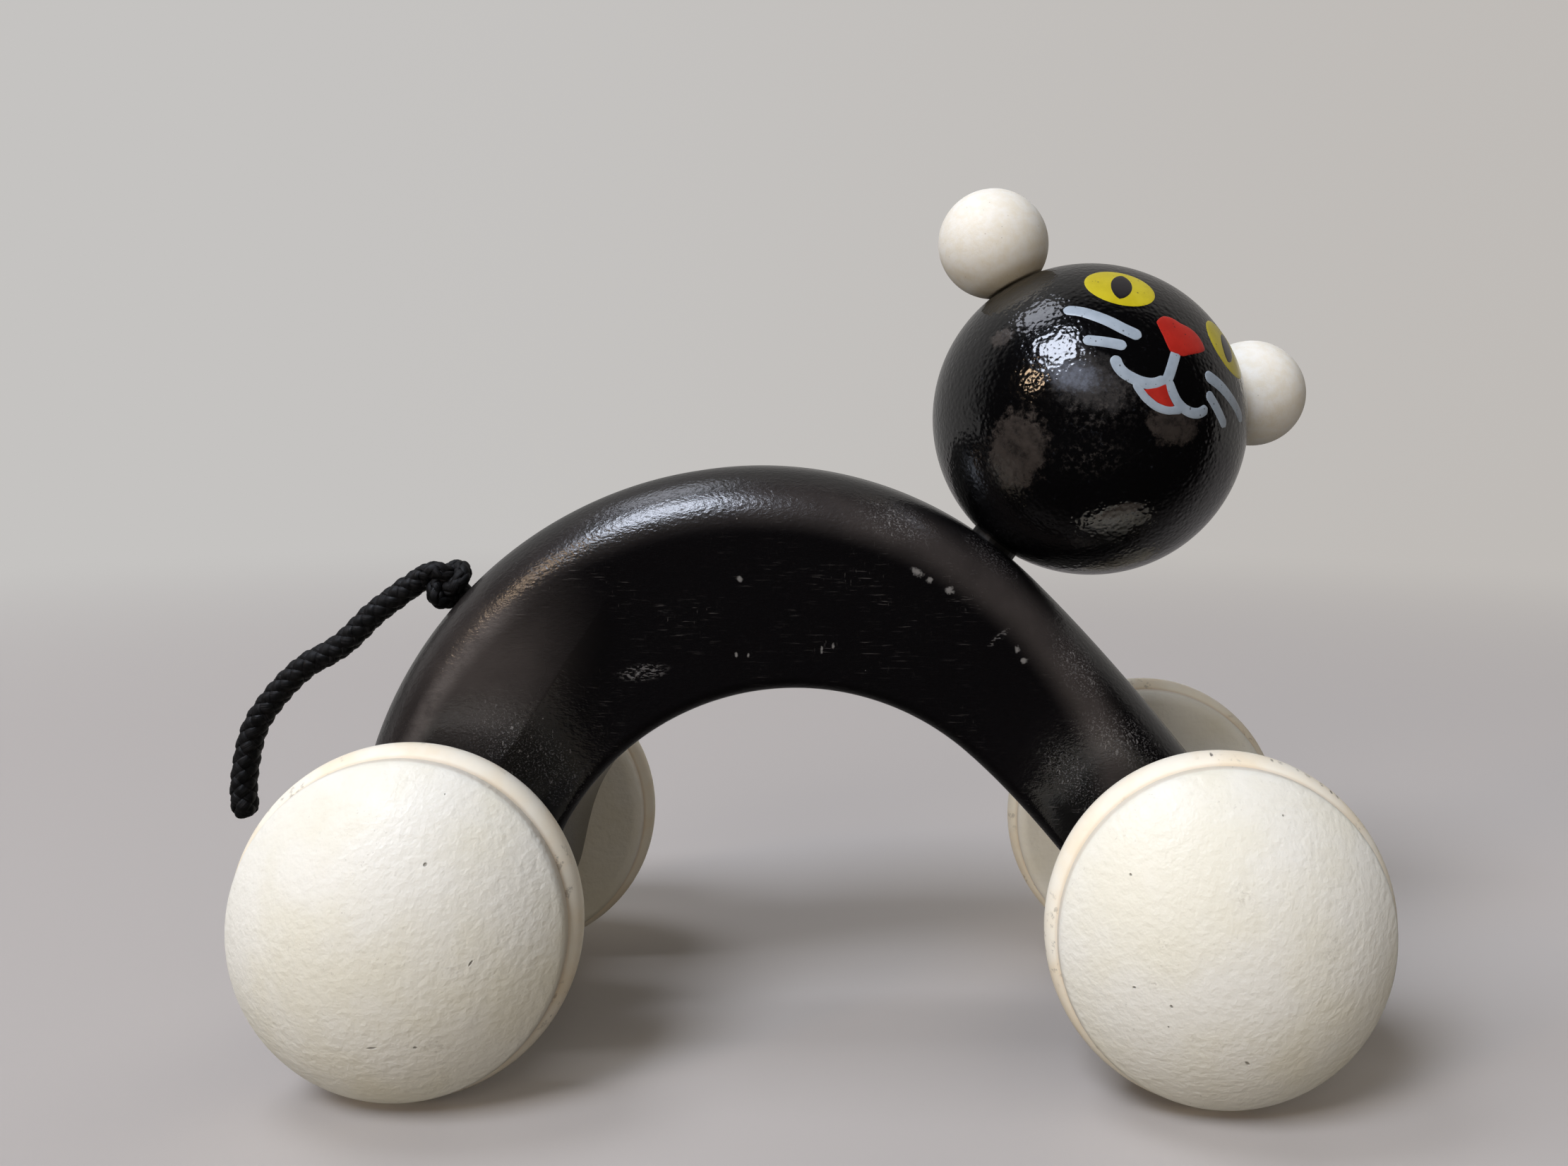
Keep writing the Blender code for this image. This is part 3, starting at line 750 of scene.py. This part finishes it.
def boardStations():  # the side outline, each station with the edge rounding that it has there
    outer, inner = board["outerRound"], board["innerRound"]
    legs = board["legSteps"]
    back = arcEdge(backCentre, board["backRadius"], board["backArc"], board["backSteps"])
    frontFoot = arcEdge(frontAxle, board["frontFootRadius"], board["frontFootArc"], board["footSteps"])
    arch = arcEdge(archCentre, board["archRadius"], board["archArc"], board["archSteps"])
    rearFoot = arcEdge(rearAxle, board["rearFootRadius"], board["rearFootArc"], board["footSteps"])
    stretches = (
        (back, outer, outer), (legEdge(back[-1], frontFoot[0], legs), outer, outer),
        (frontFoot, outer, inner), (legEdge(frontFoot[-1], arch[0], legs), inner, inner),
        (arch, inner, inner), (legEdge(arch[-1], rearFoot[0], legs), inner, inner),
        (rearFoot, inner, outer), (legEdge(rearFoot[-1], back[0], legs), outer, outer),
    )
    stations = []
    for edge, firstRound, lastRound in stretches:
        for i, (spot, out) in enumerate(edge):
            share = eased(i / max(len(edge) - 1, 1))
            stations.append((spot, out, firstRound + (lastRound - firstRound) * share))
    return stations


def boardRing(stations, side, share, further=0.0):
    turn = radians(90.0 * share)
    half = board["thickness"] / 2
    ring = []
    for spot, out, rounding in stations:
        y = half - rounding + rounding * sin(turn)
        inset = rounding * (1.0 - cos(turn)) + further
        ring.append(spot - out * inset + Vector((0.0, side * y, 0.0)))
    return ring


def roundCutter(radius, low, high, place):  # for a bore along local z
    return turned([(0.0, high), (radius, high), (radius, low), (0.0, low)], board["boreSteps"], place)


def addBody():
    stations = boardStations()
    steps = board["edgeSteps"]
    rings = [boardRing(stations, -1.0, 1.0, board["flatEdge"])]
    rings += [boardRing(stations, -1.0, i / steps) for i in range(steps, -1, -1)]
    rings += [boardRing(stations, 1.0, i / steps) for i in range(steps + 1)]
    rings += [boardRing(stations, 1.0, 1.0, board["flatEdge"])]
    bm = bmesh.new()
    lines = sweepRows(bm, rings)
    bm.faces.new(lines[0])
    bm.faces.new(lines[-1])
    bmesh.ops.recalc_face_normals(bm, faces=bm.faces)
    body = addPiece("boardBody", bm, blackLacquer(), "chassis", ["body"], sharp=30.0)
    across = Vector((0.0, 1.0, 0.0))
    reach = board["thickness"]
    cutAway(body, [
        roundCutter(board["axleBore"], -reach, reach, along(across, frontAxle)),
        roundCutter(board["axleBore"], -reach, reach, along(across, rearAxle)),
        roundCutter(board["neckBore"], -board["neckDepth"], reach, onBack(neckLean)),
        roundCutter(board["tailBore"], -board["tailDepth"], reach, onBack(tail["knotAt"])),
    ])
    print("body:", len(body.data.polygons), "faces")


addBody()


# Wheels, tyres and axles

wheel = {
    "rimRadius": 23.2 * mm,
    "rimHalfWidth": 3.6 * mm,
    "rimRound": 2.0 * mm,
    "domeRise": 10.8 * mm,
    "hubRadius": 8.0 * mm,
    "hubLength": 6.1 * mm,
    "hubFillet": 1.2 * mm,
    "tyreRadius": 3.0 * mm,  # of the ring's round section
    "tyreRing": 21.6 * mm,  # from the axle to the middle of that section
    "seatGap": 0.3 * mm,
    "rodRadius": 2.0 * mm,
    "rodReach": 6.0 * mm,
    "outward": 25.6 * mm,  # from the middle of the board to the tyre's plane
    "steps": 160,
    "domeSteps": 36,
    "grooveSteps": 20,
    "roundSteps": 8,
    "tyreSides": 40,
}


def ivoryPaint():
    # Oil paint on turned wood, once white, now ivory: a soft satin with a pebbly brush ripple, a
    # little yellower in places, with a few dark nicks, and grimy in the seam by the tyre.
    made, shader, place = startMaterial("ivoryOilPaint")
    aged = spread(mottle(place, 14.0), 0.36, 0.68)
    grimy = spread(mottle(place, 9.0), 0.45, 0.7)
    dots = only(spread(mottle(place, 0.55, 3.0, 0.7), 0.62, 0.70), grimy)
    nicks = highest(flecks(place, 5.2, 0.4, 0.08), flecks(place, 2.6, 0.26, 0.08), blots(
        place, -37.0, 12.0, 0.3, (
            (-56.3, 12.9, 0.75, 0.18, 4), (-50.9, 12.7, 0.3, 0.2, 0), (-50, 36.3, 0.3, 0.3, 60),
            (-43.8, 23.7, 0.5, 0.2, 60), (42.5, 21, 0.25, 0.2, 0), (47, 19.3, 0.2, 0.3, 30),
            (42.3, 35, 0.2, 0.2, 0), (57.1, 11.7, 0.5, 0.25, -40),
        )))
    smudges = blots(place, -37.0, 12.0, 0.0, (
        (45.9, 27.3, 1.3, 1.3, 0), (44.8, 21.9, 1.5, 1.5, 0), (55.9, 33.8, 2.2, 2.2, 0),
        (67.5, 27, 3, 3, 0), (-48.5, 12.5, 2.5, 2.5, 0),
    ))
    smudged = only(smudges, spread(mottle(place, 0.6, 4.0, 0.7), 0.48, 0.62))
    brushed = streaked(place, (0.16, 1.0, 1.0), 0.25, 0.7, 3.0, 0.6)
    seam = spread(fromAxle(place), 23.05 * mm, 23.2 * mm)
    streaks, grime = spread(brushed, 0.45, 0.75), highest(dots, smudged)
    base = worn(layer(only(aged, 0.6), "#F9F6EA", "#F1EBD3"), (streaks, 0.10, "#D6CFBC"),
                (grime, 0.3, "#968C78"), (seam, 0.3, "#C4A98A"), (nicks, 0.7, "#6B6052"))
    ripples = combine("ADD", mottle(place, 1.15, 2.5, 0.55), only(brushed, 0.12))
    setUp(shader, {"Base Color": base, "Roughness": spread(mottle(place, 5.0), 0.3, 0.7, 0.40, 0.52),
                   "Normal": relief(combine("SUBTRACT", ripples, nicks), 0.17)})
    return made


def creamRubber():
    # Natural rubber ring, cream and matt, with a faint bloom, a tan line where it beds in the
    # wheel, and dark scuffs from the floor.
    made, shader, place = startMaterial("creamNaturalRubber")
    tone = spread(mottle(place, 6.0), 0.35, 0.7)
    bedded = spread(fromAxle(place), 23.2 * mm, 23.6 * mm, 1.0, 0.0)
    patchy = spread(mottle(place, 9.0, 1.0), 0.52, 0.62)
    rubbedAndHighlightStreak = only(spread(mottle(place, 1.5, 4.0, 0.65), 0.56, 0.66), patchy)
    scuffs = blots(place, -26.9, 1.3, 0.3, (
        (68.6, 46.2, 0.9, 0.4, -35), (67.2, 46.9, 0.5, 0.3, -30), (64.8, 47.9, 0.7, 0.35, -20),
        (63.6, 48.2, 0.4, 0.3, 0), (70.5, 44.9, 0.5, 0.3, -40), (71.8, 43.9, 0.4, 0.3, -45),
        (72.7, 43.2, 0.4, 0.25, -50), (55, 48.9, 0.3, 0.3, 0), (48.9, 48.1, 0.4, 0.25, 15),
        (46.1, 47.1, 0.5, 0.3, 25), (43.2, 43.3, 0.9, 0.3, 36), (42, 42.5, 0.3, 0.25, 0),
    ))
    black = only(scuffs, spread(mottle(place, 0.35, 3.0, 0.7), 0.36, 0.5))
    base = worn(layer(tone, "#FFF8E6", "#FCEED3"), (bedded, 0.3, "#CDB08C"), (rubbedAndHighlightStreak, 0.35, "#3B3532"),
                (black, 0.9, "#3B3532"))
    setUp(shader, {"Base Color": base, "Roughness": 0.6,
                   "Normal": relief(mottle(place, 0.9, 3.0, 0.6), 0.03)})
    return made


def drawnSteel():
    # Bright drawn mild steel rod: fine rings round it from the wheels' fitting, a little dulled.
    made, shader, place = startMaterial("drawnMildSteel")
    rings = streaked(place, (0.2, 1.0, 0.2), 0.0, 0.4, 2.0)
    setUp(shader, {"Base Color": layer(rings, "#9A9894", "#B9B7B2"), "Metallic": 1.0,
                   "Roughness": spread(rings, 0.3, 0.7, 0.28, 0.42)})
    return made


def lacqueredBeech():
    # Turned beech dowel: pale, with short darker flecks along the grain. It is black within
    # about 9 mm of where it goes into the ball, so the little that shows below the ball is black.
    made, shader, place = startMaterial("beechBlackNearBall")
    ballRadius, blackReach = 25.0, 9.0
    grain = spread(streaked(place, (1.0, 1.0, 0.2), 0.0, 0.5, 3.0), 0.4, 0.7)
    # Black near the ball, where the dowel shows in the narrow gap under it.
    blackNearBall = blot(place, headCentre / mm - neckAxis * ballRadius, (blackReach,) * 3, full=0.8)
    setUp(shader, {"Base Color": layer(blackNearBall, layer(grain, "#DDBE96", "#B98F62"), "#0B0A0A"),
                   "Roughness": 0.5})
    return made


def wheelProfile():  # from the middle of the dome round to the end of the blind bore
    rim, rounding, rise = wheel["rimRadius"], wheel["rimRound"], wheel["domeRise"]
    half, steps = wheel["rimHalfWidth"], wheel["roundSteps"]
    rimCentre = rim - rounding
    domeRadius = (rimCentre ** 2 + rise ** 2 - rounding ** 2) / (2 * (rise - rounding))
    domeCentre = half + rise - domeRadius
    slope = degrees(atan2(half - domeCentre, rimCentre))
    groove = wheel["tyreRadius"] + wheel["seatGap"]
    lip = degrees(acos((rim - wheel["tyreRing"]) / groove))
    rimBack = half + rounding
    hubEnd = -rimBack - wheel["hubLength"]
    bore = wheel["rodRadius"] + wheel["seatGap"]
    boreEnd = wheel["rodReach"] + wheel["seatGap"]
    profile = arcPoints((0.0, domeCentre), domeRadius, 90.0, slope, wheel["domeSteps"])
    profile += arcPoints((rimCentre, half), rounding, slope, 0.0, steps)[1:]
    profile += arcPoints((wheel["tyreRing"], 0.0), groove, lip, 360.0 - lip, wheel["grooveSteps"])
    profile += arcPoints((rimCentre, -half), rounding, 0.0, -90.0, steps)
    fillet = (wheel["hubRadius"] + wheel["hubFillet"], -rimBack - wheel["hubFillet"])
    profile += arcPoints(fillet, wheel["hubFillet"], 90.0, 180.0, steps)
    return profile + [(wheel["hubRadius"], hubEnd), (bore, hubEnd), (bore, boreEnd), (0.0, boreEnd)]


def addWheels():
    paint, rubber = ivoryPaint(), creamRubber()
    section = arcPoints((wheel["tyreRing"], 0.0), wheel["tyreRadius"], 0.0, 360.0, wheel["tyreSides"])[:-1]
    for end, axle in (("front", frontAxle), ("rear", rearAxle)):
        for side, sign in sides:
            place = Matrix.Translation(axle + Vector((0.0, sign * wheel["outward"], 0.0)))
            place = place @ Matrix.Rotation(radians(-90.0 * sign), 4, "X")
            rim = turned(wheelProfile(), wheel["steps"], place)
            ring = turned(section, wheel["steps"], place, closed=True)
            corner, body, node = end + side.capitalize(), end + "_wheels", f"_{end}_{side}"
            addPiece(corner + "Wheel", rim, paint, body, ["wheel" + node])
            addPiece(corner + "Tyre", ring, rubber, body, ["tyre" + node])
    print("wheels: four, with tyres")


def finishRods():  # the axles and dowels stay as they are, with real finishes
    for material, names in (
        (drawnSteel(), ("front_axle", "rear_axle")),
        (lacqueredBeech(), ("neck_dowel", "ear_dowel_left", "ear_dowel_right")),
    ):
        for name in names:
            for shade in frame["nodes"][name].material_slots:
                shade.material = material


addWheels()
finishRods()


# Head and ears

head = {
    "radius": 25.0 * mm,
    "turn": -79.4,  # from straight ahead
    "lean": 8.8,  # the face and ears are rolled to one side
    "steps": 192,
    "arcSteps": 96,
    "bore": 4.3 * mm,
    "boreDepth": 16.3 * mm,
    "faceAbove": 32.0,  # the middle of the face, above straight ahead on the ball
}
ear = {
    "radius": 9.0 * mm,
    "seatRadius": 4.8 * mm,  # the flats by which ear and head meet
    "spread": 53.0,  # out from the middle of the face
    "back": 22.5,  # back from the top of the head
    "pin": 2.3 * mm,  # radius of the pin's hole
    "pinInHead": 8.3 * mm,
    "pinInEar": 7.3 * mm,
    "seatGap": 0.3 * mm,
    "steps": 144,
    "arcSteps": 72,
    "cutSteps": 96,
}
headTurn = (
    Matrix.Rotation(radians(90.0 - neckLean), 4, "Y")
    @ Matrix.Rotation(radians(head["turn"]), 4, "Z")
)
headPlace = Matrix.Translation(headCentre) @ headTurn
faceRoll = Matrix.Rotation(radians(head["lean"]), 4, "X")


def glossLacquer():
    # Dipped lacquer on a turned ball: glossy and almost pure black. A pebbly orange peel breaks
    # its highlights into bright points, and it has dull brown patches with ragged edges. Grey
    # glows round and below the window's highlight are a painted reflection.
    made, shader, place = startMaterial("blackDippedLacquer")
    patches = highest(*(blot(place, spot, halves, turn, 0.1) for spot, halves, turn in (
        ((28.3, -20, 90.8), (6.9, 9, 9.8), -20), ((50.2, -23.4, 94.8), (6.5, 9, 4.4), -8),
        ((43.3, -20.6, 82.4), (5.4, 7, 1.5), 17), ((26.3, -15.9, 107.5), (2.8, 4, 2.4), 30),
    )))
    dull = ragged(place, patches, 1.1, 0.22, 0.62)
    # Two soft grey glows below the highlight, broken into fine spots, are a painted glow.
    paintedGlow = highest(blot(place, (40.0, -23.5, 97.5), (9.0, 9.0, 6.0), 20.0, 0.0),
                   blot(place, (38.5, -24.0, 90.0), (8.0, 6.0, 4.0), 10.0, 0.0))
    # A broad grey glow below the window's highlight is a painted reflection of the lit room.
    hazeAndPaintedReflection = blot(place, (37.8, -24.0, 101.0), (12.5, 10.0, 7.6), -28.0, 0.0)
    # A bluish grey glow round the window's highlight is a painted reflection.
    paintedHighlightGlow = ragged(place, blot(place, (36.0, -23.5, 101.6), (6.5, 8.0, 3.8), -12.0, 0.0), 1.0, 0.15, 1.0)
    cloudy = spread(mottle(place, 0.9, 4.0, 0.7), 0.34, 0.56, 0.55, 0.95)
    base = layer(only(ragged(place, hazeAndPaintedReflection, 1.4, 0.2, 1.0), 0.8), "#060607", "#42403F")
    base = layer(only(paintedHighlightGlow, cloudy), base, "#6A6F7A")
    base = layer(only(dull, spread(mottle(place, 2.4, 5.0, 0.7), 0.3, 0.6, 0.35, 1.0)), base, "#3B3531")
    paintedGlowSpeckled = only(paintedGlow, spread(mottle(place, 0.7, 4.0, 0.7), 0.5, 0.7))
    base = worn(base, (paintedGlowSpeckled, 0.45, "#57524E"), (flecks(place, 1.9, 0.2, 0.12), 0.5, "#6C6A68"))
    pebbles = addNode(made.node_tree, "TexVoronoi", {
        "feature": "SMOOTH_F1", "Scale": every(0.65), "Smoothness": 1.0, "Vector": place,
    }).outputs["Distance"]
    peel = combine("ADD", pebbles, only(mottle(place, 1.3, 2.0), 0.9))
    setUp(shader, {"Base Color": base, "Roughness": spread(dull, 0.0, 1.0, 0.12, 0.27),
                   "Specular IOR Level": 0.75, "Normal": relief(peel, 0.065)})
    return made


def creamPaint():
    # Matt cream paint on turned balls, dry and chalky, with fine dark specks of age and a
    # yellower ring of glue where each meets the head.
    made, shader, place = startMaterial("creamChalkyPaint")
    tone = spread(mottle(place, 2.0, 5.0, 0.7), 0.35, 0.7)
    specks = highest(flecks(place, 0.9, 0.22, 0.25), flecks(place, 2.6, 0.45, 0.12))
    glue = blot(place, headCentre / mm, (28.6,) * 3, full=0.92)
    base = worn(layer(tone, "#FCF8ED", "#F6EEDB"), (specks, 0.4, "#8B7E66"), (glue, 0.5, "#B9A06A"))
    setUp(shader, {"Base Color": base, "Roughness": 0.6,
                   "Normal": relief(mottle(place, 0.6, 4.0, 0.7), 0.05)})
    return made


def earWay(sign):  # the matrix that points z from the middle of the head through an ear
    rise = cos(radians(ear["spread"]))
    back = radians(ear["back"])
    axis = (-sin(back) * rise, sign * sin(radians(ear["spread"])), cos(back) * rise)
    return headPlace @ faceRoll @ along(axis, (0.0, 0.0, 0.0))


def addHead():
    radius, bore = head["radius"], head["bore"]
    mouth = -degrees(acos(bore / radius))
    profile = arcPoints((0.0, 0.0), radius, 90.0, mouth, head["arcSteps"])
    boreEnd = -radius + head["boreDepth"]
    bm = turned(profile + [(bore, boreEnd), (0.0, boreEnd)], head["steps"], headPlace)
    ball = addPiece("headBall", bm, glossLacquer(), "head_ball", ["head"])

    headFlat = sqrt(radius ** 2 - ear["seatRadius"] ** 2)
    earFlat = sqrt(ear["radius"] ** 2 - ear["seatRadius"] ** 2)
    flatAngle = -degrees(acos(ear["seatRadius"] / ear["radius"]))
    pin, wide = ear["pin"], 2 * ear["seatRadius"]
    profile = arcPoints((0.0, 0.0), ear["radius"], 90.0, flatAngle, ear["arcSteps"])
    profile += [(pin, -earFlat), (pin, ear["pinInEar"] - earFlat), (0.0, ear["pinInEar"] - earFlat)]
    seat = [(0.0, radius + wide), (wide, radius + wide), (wide, headFlat), (pin, headFlat),
            (pin, headFlat - ear["pinInHead"]), (0.0, headFlat - ear["pinInHead"])]
    paint = creamPaint()
    for side, sign in sides:
        place = earWay(sign) @ Matrix.Translation((0.0, 0.0, headFlat + ear["seatGap"] + earFlat))
        bm = turned(profile, ear["steps"], place)
        addPiece(side + "Ear", bm, paint, "head_ball", ["ear_" + side])
    cutAway(ball, [turned(seat, ear["cutSteps"], earWay(sign)) for side, sign in sides])
    print("head:", len(ball.data.polygons), "faces")


addHead()


# Face: thin films of paint on the ball. Places are in mm on the ball's surface, to the cat's
# left and up, from the middle of the face.

face = {
    "film": 0.09 * mm,  # the films' thickness, half of it in the ball
    "rounded": 0.35,  # the width over which a film's edge thins out, in mm
    "eye": (10.3, 9.45),
    "eyeHalf": (5.5, 4.95),
    "pupil": (10.1, 9.45),
    "pupilHalf": (1.7, 3.75),
    "nose": [
        (-4.09, 3.54), (-3.68, 4.66), (-2.96, 5.51), (-1.65, 5.89), (-0.25, 5.75), (1.19, 5.94),
        (2.53, 5.75), (3.57, 5.14), (4.38, 4.27), (4.58, 3.48), (3.57, 2.2), (2.28, 0.99),
        (1.22, 0), (0.1, -0.43), (-0.91, -0.49), (-1.79, 0.38), (-2.7, 1.58), (-3.55, 2.7),
    ],
    "tongue": [
        (-2.74, -8), (-1.89, -7.34), (-1.04, -6.58), (-0.09, -5.58), (0.48, -6.33), (1.3, -7.19),
        (2.44, -8.01), (1.43, -8.57), (0.26, -8.72), (-0.81, -8.63), (-1.95, -8.33),
    ],
    # each line: its width in mm and the points that it passes through
    "strokes": {
        "noseLine": (1.65, [(-0.1, 0.3), (-0.08, -1.8), (-0.05, -3.6), (-0.05, -5.6)]),
        "mouthRight": (1.7, [(-8.5, -4.9), (-7.5, -6.2), (-6.3, -6.9), (-4.6, -7.15), (-3.0, -7.0),
            (-1.6, -6.4), (-0.2, -5)]),
        "mouthLeft": (1.55, [(0.0, -4.9), (1.5, -6.3), (2.8, -7.1), (4.3, -7.4), (5.8, -7.1),
            (7, -6.3), (7.9, -4.9)]),
        "lip": (1.2, [(-4.4, -7.6), (-3.0, -8.5), (-1.8, -9.05), (0.0, -9.35), (1.6, -9.05),
            (2.8, -8.4), (3.9, -7.7)]),
        "whiskerRightLong": (2.0, [(-17.7, 1.5), (-15.1, 1.46), (-12.86, 1.06), (-10.6, 0.56),
            (-8.4, 0), (-5.7, -0.35)]),
        "whiskerRightShort": (1.75, [(-13.5, -3.7), (-10.43, -3.18), (-7.3, -2.75)]),
        "whiskerLeftLong": (2.0, [(5.6, -0.4), (9.1, 0.0), (12.05, 0.0), (15.2, -0.1), (17.3, -0.4)]),
        "whiskerLeftShort": (1.75, [(6.9, -2.8), (9.27, -3.56), (10.99, -4.13), (13.0, -4.8)]),
    },
    # how far each paint stands off the ball, in mm; strokes rise in turn where they cross
    "lift": {"eye": 0.045, "pupil": 0.075, "nose": 0.07, "tongue": 0.045, "stroke": 0.05, "next": 0.004},
    "edgeLift": 0.7,  # of its full height, halfway in from a film's edge
    "rings": (0.7, 0.5, 0.3, 0.1),
    "tip": 0.15,  # a stroke's width at its very end, against its full width
    "pupilPoint": 1.35,  # above 1, it narrows at its top and bottom
    "roundSteps": 96,
    "across": 8,
    "spacing": 0.15,
}
faceTurn = (headTurn @ faceRoll).to_3x3() @ Matrix.Rotation(radians(-head["faceAbove"]), 3, "Y")


def onFace(place, lift):  # a spot on the ball from its place on the face, lifted in mm
    s, t = place[0], place[1]
    reach = hypot(s, t)
    angle = reach * mm / head["radius"]
    across = sin(angle) / reach if reach > 0 else 0.0
    way = Vector((cos(angle), across * s, across * t))
    return headCentre + faceTurn @ way * (head["radius"] + lift * mm)


def facePaint(name, code, shade, roughness):
    # Gloss enamel put on by hand, a little uneven in tone, with pinholes where it missed.
    made, shader, place = startMaterial(name)
    tone = spread(mottle(place, 2.4, 4.0, 0.6), 0.35, 0.7)
    holes = highest(flecks(place, 0.8, 0.36, 0.14), flecks(place, 0.5, 0.2, 0.12))
    setUp(shader, {"Base Color": worn(layer(tone, code, shade), (holes, 0.75, "#201C1A")),
                   "Roughness": roughness, "Normal": relief(mottle(place, 0.8, 2.0), 0.012)})
    return made


def addFilm(name, bm, material):  # gives a sheet of paint its thickness, down into the ball
    bmesh.ops.recalc_face_normals(bm, faces=bm.faces)
    bmesh.ops.solidify(bm, geom=bm.faces[:], thickness=face["film"])
    bmesh.ops.recalc_face_normals(bm, faces=bm.faces)
    addPiece(name, bm, material, "head_ball", sharp=60.0)


def addPatch(name, outline, lift, material):  # a filled shape with a thinned edge
    middle = sum((Vector(point) for point in outline), Vector((0.0, 0.0))) / len(outline)
    reach = max((Vector(point) - middle).length for point in outline)
    thinned = 1.0 - face["rounded"] / reach
    shares = [(1.0, 0.0), ((1.0 + thinned) / 2, face["edgeLift"]), (thinned, 1.0)]
    rows = []
    for share, full in shares + [(ring, 1.0) for ring in face["rings"]]:
        rows.append([onFace(middle.lerp(Vector(point), share), lift * full) for point in outline])
    bm = bmesh.new()
    lines = sweepRows(bm, rows)
    bm.faces.new(lines[-1])
    addFilm(name, bm, material)


def addStroke(name, width, line, lift, material):  # a brushed line with round ends
    path = smoothPath([(s, t, 0.0) for s, t in line], face["spacing"])
    lengths = pathLengths(path)
    half = width / 2
    rows = []
    for i, (point, reached) in enumerate(zip(path, lengths)):
        ahead = onward(path, i)
        across = Vector((-ahead.y, ahead.x, 0.0))
        toEnd = min(reached, lengths[-1] - reached, half) / half
        wide = half * max(face["tip"], sqrt(1.0 - (1.0 - toEnd) ** 2))
        row = []
        for j in range(face["across"] + 1):
            share = 2 * j / face["across"] - 1.0
            full = min(1.0, (1.0 - abs(share)) * half / face["rounded"])
            row.append(onFace(point + across * (wide * share), lift * sqrt(full)))
        rows.append(row)
    bm = bmesh.new()
    sweepRows(bm, rows, closed=False)
    addFilm(name, bm, material)


def oval(middle, halves, pointed):
    points = []
    for i in range(face["roundSteps"]):
        turn = tau * i / face["roundSteps"]
        across = copysign(abs(cos(turn)) ** pointed, cos(turn))
        points.append((middle[0] + halves[0] * across, middle[1] + halves[1] * sin(turn)))
    return points


def addFace():
    lift = face["lift"]
    yellow = facePaint("yellowEnamel", "#C9B920", "#BFAE12", 0.28)
    black = facePaint("blackEnamel", "#131014", "#1B171B", 0.2)
    red = facePaint("redEnamel", "#B92B20", "#AB241A", 0.3)
    blue = facePaint("paleBlueEnamel", "#A6B2BD", "#97A3AF", 0.34)
    for side, sign in sides:
        for part, paint, pointed in (("eye", yellow, 1.0), ("pupil", black, face["pupilPoint"])):
            s, t = face[part]
            outline = oval((sign * s, t), face[part + "Half"], pointed)
            addPatch(side + part.capitalize(), outline, lift[part], paint)
    for part in ("nose", "tongue"):
        line = [(s, t, 0.0) for s, t in face[part]]
        outline = [(point.x, point.y) for point in smoothPath(line + line[:1], face["spacing"])[:-1]]
        addPatch(part, outline, lift[part], red)
    for number, (name, (width, line)) in enumerate(face["strokes"].items()):
        addStroke(name, width, line, lift["stroke"] + lift["next"] * number, blue)
    print("face: painted")


addFace()
